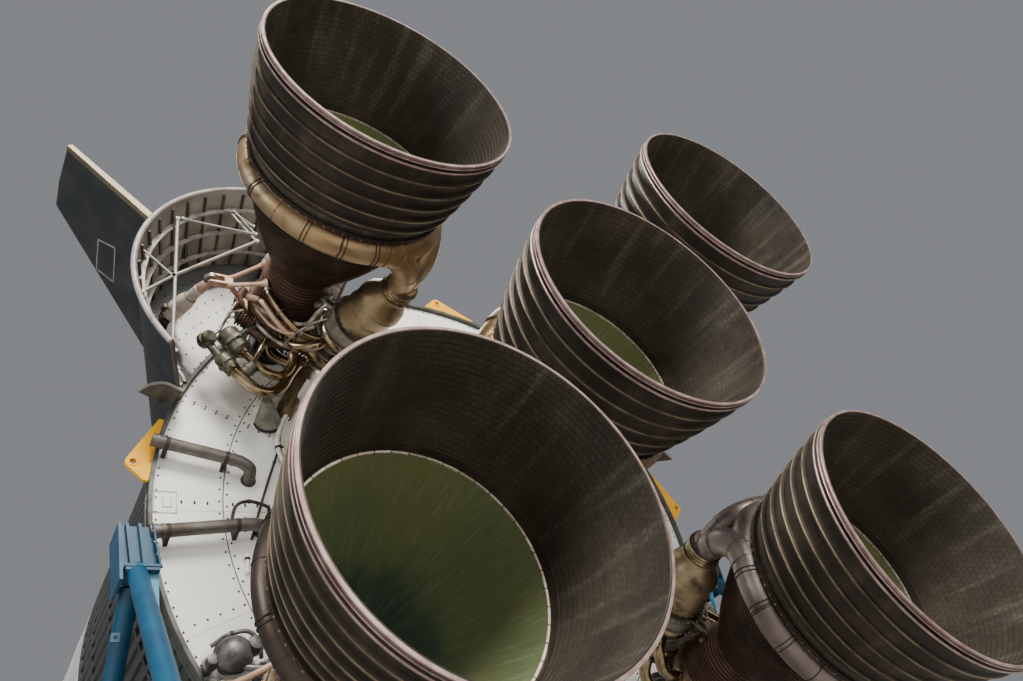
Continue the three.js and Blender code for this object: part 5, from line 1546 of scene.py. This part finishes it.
# Turbopumps
# Inboard of the barrel stand the oxidizer pump, the fuel pump and the turbine on one line, bolted
# flange to flange, with round volutes and the high-pressure ducts that feed the injector.
# columns: share of the pump's line, radius
PUMP_SHAPE = [
    (0.000, 0.120), (0.002, 0.300), (0.030, 0.320), (0.034, 0.380), (0.058, 0.380), (0.062, 0.330),
    (0.120, 0.300), (0.190, 0.315), (0.196, 0.400), (0.214, 0.400), (0.220, 0.290), (0.278, 0.290),
    (0.284, 0.385), (0.300, 0.385), (0.306, 0.340), (0.400, 0.340), (0.408, 0.440), (0.428, 0.460),
    (0.432, 0.425), (0.520, 0.420), (0.526, 0.462), (0.552, 0.462), (0.556, 0.300), (0.564, 0.300),
]
# columns: how many bolts a flange has, share of the pump's line, radius
PUMP_FLANGES = [(28, 0.046, 0.380), (30, 0.205, 0.400), (28, 0.292, 0.385), (34, 0.418, 0.450),
                (36, 0.539, 0.462)]
PUMP_CAST, POLISHED, BOLT, SMALL_LINE, COPPER, RIBBED = range(6)  # finishes of pump and plumbing
line = Shell()
line.turned([(r, share * PUMP_LINE) for share, r in PUMP_SHAPE], 48, PUMP_CAST, ends=True)
for share, r, tube in ((0.125, 0.300, 0.125), (0.350, 0.300, 0.105)):
    line.ring(r, share * PUMP_LINE, tube, 48, 14, POLISHED)
for count, share, r in PUMP_FLANGES:
    line.bolts(count, r, share * PUMP_LINE, FLANGE_BOLT, BOLT)
pump = Shell().include(line, to_pump)


def flanged_duct(shell, points, radius, finish=POLISHED, sides=16):
    """A bent duct with a bolted flange at each end."""
    path = smooth(points)
    shell.pipe(path, radius, sides, finish)
    for here, there in ((path[0], path[2]), (path[-1], path[-3])):
        axis = (there - here).normalized()
        shell.pipe([here, here + axis * 0.045], radius * 1.4, sides, finish)
        for bolt in range(8):
            spin = Matrix.Rotation(math.pi / 4 * bolt, 4, axis)
            spot = here + spin @ (axis.orthogonal().normalized() * radius * 1.22)
            shell.stud(spot + axis * 0.045, axis, 0.012, 0.014, 6, BOLT)


for side in (-1, 1):
    flanged_duct(pump, [(-0.95, -0.66, 0.24 * side), (-0.76, -0.36, 0.46 * side),
                        (-0.42, -0.27, 0.50 * side), (-0.20, -0.34, 0.36 * side)], 0.095)
    flanged_duct(pump, [(-1.05, -1.16, 0.25 * side), (-1.00, -1.10, 0.54 * side),
                        (-0.72, -0.90, 0.66 * side), (-0.42, -0.80, 0.46 * side)], 0.085)
for share in (0.2, 0.5):
    x, y, z = PUMP_START.lerp(PUMP_END, share)
    pump.pipe([(x, y, 0), (-0.42, y + 0.06, 0)], [0.11, 0.075], 8, PUMP_CAST)
    pump.block((-0.60, y + 0.01, -0.20), (-0.54, y + 0.11, 0.20), finish=PUMP_CAST)

pump_metal = Finish("pump_castings", metallic=0.75)
cast = pump_metal.noise(4.0, 5)
grime = pump_metal.noise(1.4, 4)
body = pump_metal.mix(cast.step(0.35, 0.65), (0.13, 0.115, 0.085), (0.30, 0.27, 0.21))
pump_metal.looks(base_color=pump_metal.mix(grime.step(0.50, 0.72), body, (0.040, 0.032, 0.025)))
pump_metal.looks(roughness=0.30 + cast * 0.28)
pump_metal.bump(pump_metal.noise(30, 4), 0.006, 0.5)
bright_duct = mottled("polished_duct", (2.4, 4), (0.38, 0.68), (0.185, 0.135, 0.072),
                      (0.43, 0.34, 0.21), 0.12, 0.22, metallic=1.0)
hang_on_engines("pump_", pump.mesh("pump", [pump_metal, bright_duct, bolt_steel]), "pump_metal",
                "turbopump_")

# Beside the barrel run the valves, the polished bends between them and the small lines. They are
# clamped to the injector and to the pumps.
plumbing = Shell()
flanged_duct(plumbing, [(-0.34, -0.49, 1.51), (-0.55, -0.50, 1.515), (-0.86, -0.50, 1.50),
                        (-1.04, -0.50, 1.36), (-1.06, -0.50, 1.11), (-0.95, -0.48, 0.78),
                        (-0.86, -0.50, 0.44)], 0.090, POLISHED, 20)
flanged_duct(plumbing, [(-0.22, -0.54, 1.13), (-0.50, -0.55, 1.155), (-0.74, -0.55, 1.14),
                        (-0.90, -0.55, 1.03), (-0.93, -0.56, 0.88), (-0.86, -0.60, 0.68),
                        (-0.72, -0.66, 0.52)], 0.072, POLISHED, 20)
flanged_duct(plumbing, [(0.42, -0.48, 1.40), (0.24, -0.48, 1.42), (-0.02, -0.48, 1.47),
                        (-0.30, -0.49, 1.51)], 0.070, PUMP_CAST)
valve_shape = [(0.03, -0.17), (0.10, -0.165), (0.13, -0.13), (0.13, -0.02), (0.155, -0.015),
               (0.155, 0.02), (0.13, 0.025), (0.125, 0.12), (0.09, 0.16), (0.03, 0.17)]
valve = Shell().turned(valve_shape, 28, PUMP_CAST, ends=True)
valve.bolts(12, 0.142, 0.02, (0.010, 0.016), BOLT, along=1)
# columns: a valve's place, the direction of its axis, its size
VALVES = [((0.02, -0.50, 1.08), (-1, 0, 0.15), 1.45), ((0.30, -0.50, 1.41), (0.3, 1, 0.1), 0.9),
          ((-0.22, -0.49, 1.49), (-1, 0, 0.1), 1.0), ((-0.52, -0.52, 1.32), (0.1, 0.4, 1), 0.75)]
for spot, axis, size in VALVES:
    plumbing.include(valve, aimed(spot, axis) @ Matrix.Scale(size, 4))
plumbing.pipe(smooth([(0.02, -0.52, 1.08), (0.04, -0.60, 0.84), (0.0, -0.66, 0.62)]), 0.060, 14)
plumbing.pipe(smooth([(-0.52, -0.55, 1.32), (-0.40, -0.66, 1.00), (-0.24, -0.70, 0.60)]), 0.042, 14,
              POLISHED)
# a manifold runs half round the injector, and a finned casting with four plugs stands on it
plumbing.ring(0.735, -0.60, 0.078, 64, 12, RIBBED, arc=(12, 168))
ribs = [(0.03, -0.17)]
for k in range(6):
    y = 0.052 * k
    ribs += [(0.115, y - 0.150), (0.150, y - 0.146), (0.150, y - 0.128), (0.115, y - 0.124)]
finned = Shell().turned([*ribs, (0.04, 0.17)], 28, RIBBED, ends=True)
plumbing.include(finned, aimed((0.20, -0.66, 0.70), (0.9, 0, 0.35)))
for k in range(4):
    foot = Vector((0.36 - 0.06 * (k % 2), -0.60 - 0.07 * k, 0.72))
    plumbing.pipe([foot, foot + Vector((0.09, 0.05, 0.16))], [0.022, 0.007], 8, BOLT)
# columns: points along a line, its radius, its finish
ENGINE_LINES = [
    ([(0.44, -0.86, 0.42), (0.35, -1.00, 0.58), (0.08, -1.19, 0.66), (-0.26, -1.13, 0.70),
      (-0.61, -1.03, 0.64), (-0.98, -0.96, 0.36)], 0.050, COPPER),
    ([(0.22, -1.42, 0.50), (0.03, -1.38, 0.62), (-0.34, -1.28, 0.66), (-0.72, -1.18, 0.60),
      (-1.02, -1.16, 0.38)], 0.060, POLISHED),
    ([(0.12, -0.74, 0.60), (-0.14, -0.72, 0.68), (-0.63, -0.79, 0.66), (-1.02, -0.88, 0.38)],
     0.034, SMALL_LINE),
    ([(-0.50, -1.22, 0.58), (-0.62, -1.31, 0.62), (-0.76, -1.47, 0.62), (-0.81, -1.73, 0.60),
      (-0.84, -1.92, 0.50)], 0.030, SMALL_LINE),
    ([(0.55, -0.66, 0.55), (0.40, -0.58, 0.92), (0.30, -0.56, 1.20), (0.36, -0.50, 1.40)],
     0.024, SMALL_LINE),
    ([(0.10, -0.60, 0.74), (0.05, -0.50, 1.00), (-0.25, -0.44, 1.30), (-0.60, -0.42, 1.34)],
     0.018, POLISHED),
    ([(-0.80, -1.30, 0.42), (-0.62, -1.10, 0.66), (-0.30, -0.98, 0.72), (0.10, -1.02, 0.70)],
     0.028, COPPER),
    ([(-0.92, -1.60, 0.40), (-0.78, -1.42, 0.58), (-0.66, -1.10, 0.68), (-0.60, -0.80, 0.70)],
     0.016, SMALL_LINE),
]
for points, radius, finish in ENGINE_LINES:
    path = smooth(points)
    plumbing.pipe(path, radius, 12, finish)
    for k in range(4, len(path) - 2, 7):
        plumbing.band(path, k, 0.014, radius * 1.35, 12, BOLT)
small_lines = mottled("small_lines", (7, 4), (0.4, 0.66), (0.42, 0.385, 0.33), (0.17, 0.14, 0.11),
                      0.25, 0.25, metallic=0.6)
valve_grey = mottled("valve_castings", (6, 5), (0.36, 0.66), (0.185, 0.175, 0.130),
                     (0.065, 0.056, 0.040), 0.34, 0.25, (36, 3, 0.004, 0.5), metallic=0.6)
finishes = [valve_grey, bright_duct, bolt_steel, small_lines, copper, hat_brown]
hang_on_engines("plumbing_", plumbing.mesh("plumbing", finishes), "pump_metal", None)


# Gimbals and actuators
# A cross-shaped block joins each outer engine's yoke to its post. Two hydraulic actuators in cloth
# sleeves hold the engine; each rod's cover slides into the barrel and is copper near its ball.
CROSS_HALF, CROSS_CORNER, CROSS_DEEP, CROSS_PIN_R, CROSS_PIN_END = 0.150, 0.030, 0.075, 0.060, 0.235
cross = Shell()
octagon = [(CROSS_HALF, CROSS_HALF - CROSS_CORNER), (CROSS_HALF - CROSS_CORNER, CROSS_HALF)]
octagon = [(x * sx, z * sz) for sx, sz, turn in ((1, 1, 1), (-1, 1, -1), (-1, -1, 1), (1, -1, -1))
           for x, z in octagon[::turn]]
cross.slab(octagon, -CROSS_DEEP, CROSS_DEEP, axes_at((0, 0, 0), (1, 0, 0), (0, 0, 1)))
for x, z in ((1, 0), (0, 1)):
    end = Vector((x, 0, z)) * CROSS_PIN_END
    radii = [CROSS_PIN_R - 0.008, CROSS_PIN_R, CROSS_PIN_R, CROSS_PIN_R - 0.008]
    cross.pipe([-end, -end * 0.97, end * 0.97, end], radii, 24, 1)
cross_mesh = cross.mesh("gimbal_cross", [dark_paint, bolt_steel])

BARREL_EYE_R, BARREL_EYE_HOLE, ROD_EYE_R, ROD_EYE_HOLE, EYE_HALF = 0.105, 0.064, 0.114, 0.074, 0.040
CLOTH, STEEL, VALVE, HOSE = range(4)  # the barrel's finishes, in order
ROSY, CHROME, EYE_STEEL, LINING = range(4)  # the rod's finishes, in order
# columns: distance along the actuator, radius, of the barrel's end cap, its sleeve and its bore
BARREL_CAP = [(0.085, 0.050), (0.088, 0.092), (0.094, 0.104), (0.100, 0.112)]
SLEEVE = [(0.104, 0.122), (0.114, 0.136), (0.150, 0.143), (0.235, 0.147), (0.262, 0.134),
          (0.290, 0.146), (0.370, 0.148), (0.400, 0.136), (0.430, 0.146), (0.520, 0.143),
          (0.600, 0.124), (0.655, 0.110), (0.662, 0.107)]
SLEEVE_INSIDE = [(0.660, 0.1005), (0.350, 0.1005), (0.345, 0.050), (0.20, 0.050)]
STRAP_RINGS = [(0.262, 0.134), (0.400, 0.136), (0.650, 0.111)]
ALONG_X = Matrix.Rotation(-math.pi / 2, 4, "Z")


def add_eye(shell, place, hole, outer, slot, finish):
    """An eye about the origin, its hole and outside made longer along Y by a slot."""
    turns = [math.pi * (k + 0.5) / 12 for k in range(24)]
    rows = []
    for r, z in ((outer, 0.006 - EYE_HALF), (outer, EYE_HALF - 0.006), (hole, EYE_HALF), (hole, -EYE_HALF)):
        loop = [(r * math.cos(a), r * math.sin(a) + math.copysign(slot, math.sin(a)), z) for a in turns]
        rows.append([place @ Vector(point) for point in loop])
    shell.net(rows, finish, closed=True)


barrel = Shell()
add_eye(barrel, Matrix(), BARREL_EYE_HOLE, BARREL_EYE_R, 0.0, STEEL)
barrel.block((0.07, -0.045, -0.036), (0.10, 0.045, 0.036), finish=STEEL)
turned_parts = Shell()
profile = [(r, x) for x, r in BARREL_CAP + SLEEVE + SLEEVE_INSIDE]
parts_finish = [STEEL] * (len(BARREL_CAP) - 1) + [CLOTH] * len(SLEEVE) + [STEEL] * 4
turned_parts.turned(profile, 32, parts_finish, ends=True)
for x, r in STRAP_RINGS:
    turned_parts.ring(r, x, 0.006, 32, 6, STEEL)
barrel.include(turned_parts, ALONG_X)
# the servo valve sits on the barrel's side, with its lines looped to the end cap
barrel.block((0.16, 0.120, -0.055), (0.29, 0.175, 0.055), finish=VALVE)
barrel.block((0.18, 0.170, -0.035), (0.26, 0.198, 0.035), finish=STEEL)
for side in (-1, 1):
    hose = smooth([(0.17, 0.15, 0.03 * side), (0.13, 0.165, 0.045 * side), (0.10, 0.14, 0.045 * side),
                   (0.10, 0.10, 0.035 * side)])
    barrel.pipe(hose, 0.011, 8, HOSE)

ACTUATOR_LENGTH = math.hypot(STAGE_BALL - ENGINE_BALL_R, ENGINE_BALL_T)
# columns: distance along the actuator, radius, of the cover on the rod; then of the rod itself
COVER = [(0.500, 0.040), (0.502, 0.086), (0.506, 0.090), (0.860, 0.090), (0.866, 0.096),
         (0.884, 0.096), (0.890, 0.088), (0.980, 0.080), (1.050, 0.066), (1.094, 0.056),
         (1.098, 0.040)]
COVER_FINISHES = [LINING] * 5 + [ROSY] * 5
ROD = [(0.38, 0.030), (0.384, 0.042), (0.51, 0.042), (0.512, 0.030)]
sleeve = Finish("cream_sleeve", metallic=0.0)
weave = sleeve.noise(2.2, 5)
threads = sleeve.noise(1.0, 2, sleeve.vector(*[part * 55 for part in sleeve.axes()]))
cream = sleeve.mix(weave.step(0.38, 0.72), (0.74, 0.66, 0.56), (0.56, 0.47, 0.38))
sleeve.looks(base_color=cream, roughness=0.7 + threads * 0.15)
sleeve.bump(threads * 0.4 + sleeve.noise(7, 3) * 0.8, 0.010, 0.6)
rosy = mottled("copper_cover", (3.0, 5), (0.35, 0.7), (0.64, 0.43, 0.34), (0.44, 0.27, 0.20),
               0.36, 0.2, metallic=0.4)
chrome = Finish("chromed_rod", metallic=1.0)
chrome.looks(base_color=(0.80, 0.80, 0.79), roughness=0.10 + chrome.noise(5, 3) * 0.12)
rods = {}
for kind, slot in (("side", 0.0), ("level", 0.052)):
    rod = Shell()
    add_eye(rod, Matrix.Translation((ACTUATOR_LENGTH, 0, 0)), ROD_EYE_HOLE, ROD_EYE_R, slot, EYE_STEEL)
    parts = Shell()
    parts.turned([(r, x) for x, r in COVER], 32, COVER_FINISHES, ends=True)
    parts.turned([(r, x) for x, r in ROD], 24, CHROME, ends=True)
    rod.include(parts, ALONG_X)
    rods[kind] = rod.mesh("actuator_cover_" + kind, [rosy, chrome, bolt_steel, sleeve])
barrel_mesh = barrel.mesh("actuator_sleeve", [sleeve, bolt_steel, valve_grey, black_parts_bore_shade])

for engine in outer_engines:
    name = engine.name
    hang("gimbal_cross_" + name, cross_mesh, STAGE @ engine.gimbal, "gimbal_" + name, "grey_steel",
         "gimbal_block_" + name)
    for kind, outward, axis in (("side", (engine.side, 0, 0), (0, 0, 1)),
                                ("level", (0, 0, engine.level), (1, 0, 0))):
        ball = Vector((engine.x, GIMBAL_Y, engine.z)) + Vector(outward) * STAGE_BALL
        direction = Vector(outward) * (ENGINE_BALL_R - STAGE_BALL) - Vector((0, ENGINE_BALL_T, 0))
        place = STAGE @ axes_at(ball, direction, direction.cross(Vector(axis)))
        which = kind + "_" + name
        hang("actuator_sleeve_" + which, barrel_mesh, place, "barrel_" + which, "sleeve_fabric",
             "actuator_barrel_" + which)
        hang("actuator_cover_" + which, rods[kind], place, "rod_" + which, "actuator_paint",
             "actuator_rod_" + which)


# Stands
# Two pairs of A-frames of welded blue pipe carry the stage. Each takes the body's side by a bracket
# of plates on a web, which is bolted to it, and stands on two square feet.
STAND_X, LEG_R, TIE_R, TIE_Z, FLOOR_Z = 5.210, 0.125, 0.095, -4.100, -8.350
FOOT_HALF, FOOT_THICK, RIB_THICK = 0.420, 0.050, 0.028
BRACKET_TOP, FLANGE_Z, BRACKET_HALF, PLATE, FLANGE_LIP = -0.650, -1.270, 0.300, 0.020, 0.040
SADDLE = 0.022
# columns: name, middle y, distance from there to a leg's top and to its foot, radius it stands at
STAND_ROWS = [("aft_stand", 5.650, 0.200, 6.450, RING_R + 0.001),
              ("forward_stand", 40.400, 0.200, 1.150, BODY_R + 0.001)]
# columns: a plate's outer face from the body at its top and at its lower edge, lower edge's z
BRACKET_PLATES = [(0.400, 0.330, -1.450), (0.310, 0.215, FLANGE_Z), (0.155, 0.060, FLANGE_Z)]
HEAD = (0.018, 0.016, 6, 1)  # a bolt head's radius, height, sides and finish


def rib_shape(height):
    """The outline of a rib between a leg and its foot."""
    tip = FOOT_HALF - 0.10
    return [(LEG_R * 0.9, 0.0), (tip, 0.0), (tip, 0.03), (LEG_R * 0.9, height)]


def stand_shell(middle, top, foot, radius):
    """One stand, on the left of the body."""
    stand = Shell()
    for side in (-1, 1):
        head = Vector((-STAND_X, middle + side * top, FLANGE_Z - 0.02))
        base = Vector((-STAND_X, middle + side * foot, FLOOR_Z + FOOT_THICK - 0.01))
        stand.pipe([head, head.lerp(base, 0.5), base], LEG_R, 28)
        bolt_at = FOOT_HALF - 0.08
        for x, y in ((-1, -1), (-1, 1), (1, 1), (1, -1)):
            spot = base + Vector((x * bolt_at, y * bolt_at, 0.01))
            stand.stud(spot, (0, 0, 1), 0.030, 0.028, 6, 1)
        stand.block((base.x - FOOT_HALF, base.y - FOOT_HALF, FLOOR_Z),
                    (base.x + FOOT_HALF, base.y + FOOT_HALF, FLOOR_Z + FOOT_THICK))
        lean = (head - base).normalized()
        for x in (-1, 1):
            place = axes_at(base, (x, 0, 0), lean)
            stand.slab(rib_shape(0.34), -RIB_THICK / 2, RIB_THICK / 2, place)
        place = axes_at(base, (0, -side, 0), (0, 0, 1))
        stand.slab(rib_shape(0.30), -RIB_THICK / 2, RIB_THICK / 2, place)
    share = (FLANGE_Z - TIE_Z) / (FLANGE_Z - FLOOR_Z)
    reach = top + (foot - top) * share
    ends = [Vector((-STAND_X, middle + side * reach, TIE_Z)) for side in (-1, 1)]
    stand.pipe([ends[0], ends[0].lerp(ends[1], 0.5), ends[1]], TIE_R, 24)
    for side, end in zip((1, -1), ends):
        flange = end + Vector((0, side * 0.26, 0))
        stand.pipe([flange, flange + Vector((0, side * 0.03, 0))], TIE_R + 0.05, 24)
        for bolt in range(8):
            a = math.pi / 4 * bolt
            circle = TIE_R + 0.027
            spot = flange + Vector((circle * math.cos(a), side * 0.03, circle * math.sin(a)))
            stand.stud(spot, (0, side, 0), *HEAD)

    # The bracket, drawn in the plane across the body
    across = axes_at((0, middle, 0), (1, 0, 0), (0, 0, 1))
    for high_out, low_out, low_z in BRACKET_PLATES:
        high_x, low_x = -radius - high_out, -radius - low_out
        outline = [(high_x, BRACKET_TOP), (high_x + 2 * PLATE, BRACKET_TOP), (low_x + 2 * PLATE, low_z),
                   (low_x, low_z)]
        stand.slab(outline, -BRACKET_HALF, BRACKET_HALF, across)
    levels = [BRACKET_TOP + (FLANGE_Z - BRACKET_TOP) * k / 6 for k in range(7)]
    skin = [(-math.sqrt(radius**2 - z**2), z) for z in levels]
    web = [(-radius - 0.385, BRACKET_TOP), *skin, (-radius - 0.33, FLANGE_Z)]
    for spot in (-0.2, 0.0, 0.2):
        stand.slab(web, spot - PLATE / 2, spot + PLATE / 2, across)
    saddle = [*skin, *((x - SADDLE, z) for x, z in reversed(skin))]
    stand.slab(saddle, -BRACKET_HALF - 0.03, BRACKET_HALF + 0.03, across)
    wide = BRACKET_HALF + FLANGE_LIP
    inner = -math.sqrt(radius**2 - FLANGE_Z**2)
    for top_z, out in ((FLANGE_Z + PLATE, 0.285), (FLANGE_Z - 0.030, 0.275)):
        stand.block((-radius - out, middle - wide, top_z - 0.036), (inner - 0.02, middle + wide, top_z))
    for x in (-radius - 0.24, inner - 0.10):
        for y in (-0.29, -0.10, 0.10, 0.29):
            stand.stud((x, middle + y, FLANGE_Z - 0.066), (0, 0, -1), *HEAD)
            stand.stud((x, middle + y, FLANGE_Z + PLATE), (0, 0, 1), *HEAD)
    for z in (-0.76, -0.92, -1.10):
        x = -math.sqrt(radius**2 - z**2) - SADDLE
        for y in (-0.31, 0.31):
            stand.stud((x, middle + y, z), (x, 0, z), *HEAD)
    fin = [(inner - 0.16, FLANGE_Z - 0.06), (inner - 0.02, FLANGE_Z - 0.06),
           (inner + 0.01, FLANGE_Z - 0.72)]
    # The plate under the flange takes a much lighter copy of the stand's blue: painted light where the
    # light falls on it
    stand.slab(fin, 0.21, 0.245, across, 2)
    ear = axes_at((-STAND_X - 0.12, middle + 0.16, FLANGE_Z - 0.74), (-1, 0, 0), (0, 0, 1))
    ear_outline = [(0.075, -0.06), (0.075, 0.06), (-0.03, 0.06), (-0.03, -0.06)]
    holed_plate(stand, ear_outline, (0.02, 0), 0.026, -0.012, 0.012, ear, 0)
    return stand


blue = Finish("stand_blue", metallic=0.0)
chalk = blue.noise(2.2, 5)
chips = blue.noise(11, 6)
sea = blue.mix(chalk.step(0.35, 0.72), (0.0, 0.064, 0.128), (0.001, 0.044, 0.092))
blue.looks(base_color=blue.mix(chips.step(0.70, 0.76), sea, (0.16, 0.13, 0.10)))
blue.looks(roughness=0.34 + chalk * 0.22)
blue.bump(blue.noise(16, 3), 0.003, 0.4)
# A lighter copy of the stand's blue for one plate: painted light
lit_blue_copy = mottled("gusset_light_blue", (3, 4), (0.4, 0.7), (0.05, 0.28, 0.45), (0.03, 0.20, 0.33),
                     0.45, metallic=0.0)
for name, *measures in STAND_ROWS:
    stand = stand_shell(*measures)
    for hand, mirror in (("left", 1), ("right", -1)):
        half = Shell().include(stand, Matrix.Diagonal((mirror, 1, 1, 1)))
        fasten(name + "_frame_" + hand, half, [blue, bolt_steel, lit_blue_copy], "blue_paint",
               name + "_" + hand)


# The floor and the light
# A pale floor under the stands and soft light from above and behind, as in a studio.
floor = Shell().block((-60, -60, -0.2), (60, 60, -0.001))
floor_paint = Finish("pale_floor", base_color=(0.42, 0.41, 0.40), roughness=0.7)
ground = bpy.data.objects.new("floor", floor.mesh("floor", [floor_paint]))
scene.collection.objects.link(ground)

world = bpy.data.worlds.new("studio")
scene.world = world
world.use_nodes = True
background = world.node_tree.nodes["Background"].inputs
background["Color"].default_value = (0.55, 0.57, 0.60, 1)
background["Strength"].default_value = 0.42

# columns: name, place, what it points at, size, watts, colour
LAMPS = [
    ("key", (-5, -24, 19), (0, -8, 4), 7, 9600, (1.0, 0.97, 0.92)),
    ("side", (-16, -14, 8), (-1, -8, 4), 5, 1260, (0.92, 0.96, 1.0)),
    ("top", (3, 2, 18), (0, 0, 4), 12, 4500, (1.0, 0.98, 0.95)),
    ("aft", (2, -30, 10), (0, -8, 4), 14, 3000, (1.0, 0.98, 0.95)),
]
for name, place, target, size, watts, color in LAMPS:
    lamp = bpy.data.lights.new(name, "AREA")
    lamp.size = size
    lamp.energy = watts
    lamp.color = color
    holder = bpy.data.objects.new(name, lamp)
    holder.location = place
    holder.rotation_euler = (Vector(target) - Vector(place)).to_track_quat("-Z", "Y").to_euler()
    scene.collection.objects.link(holder)
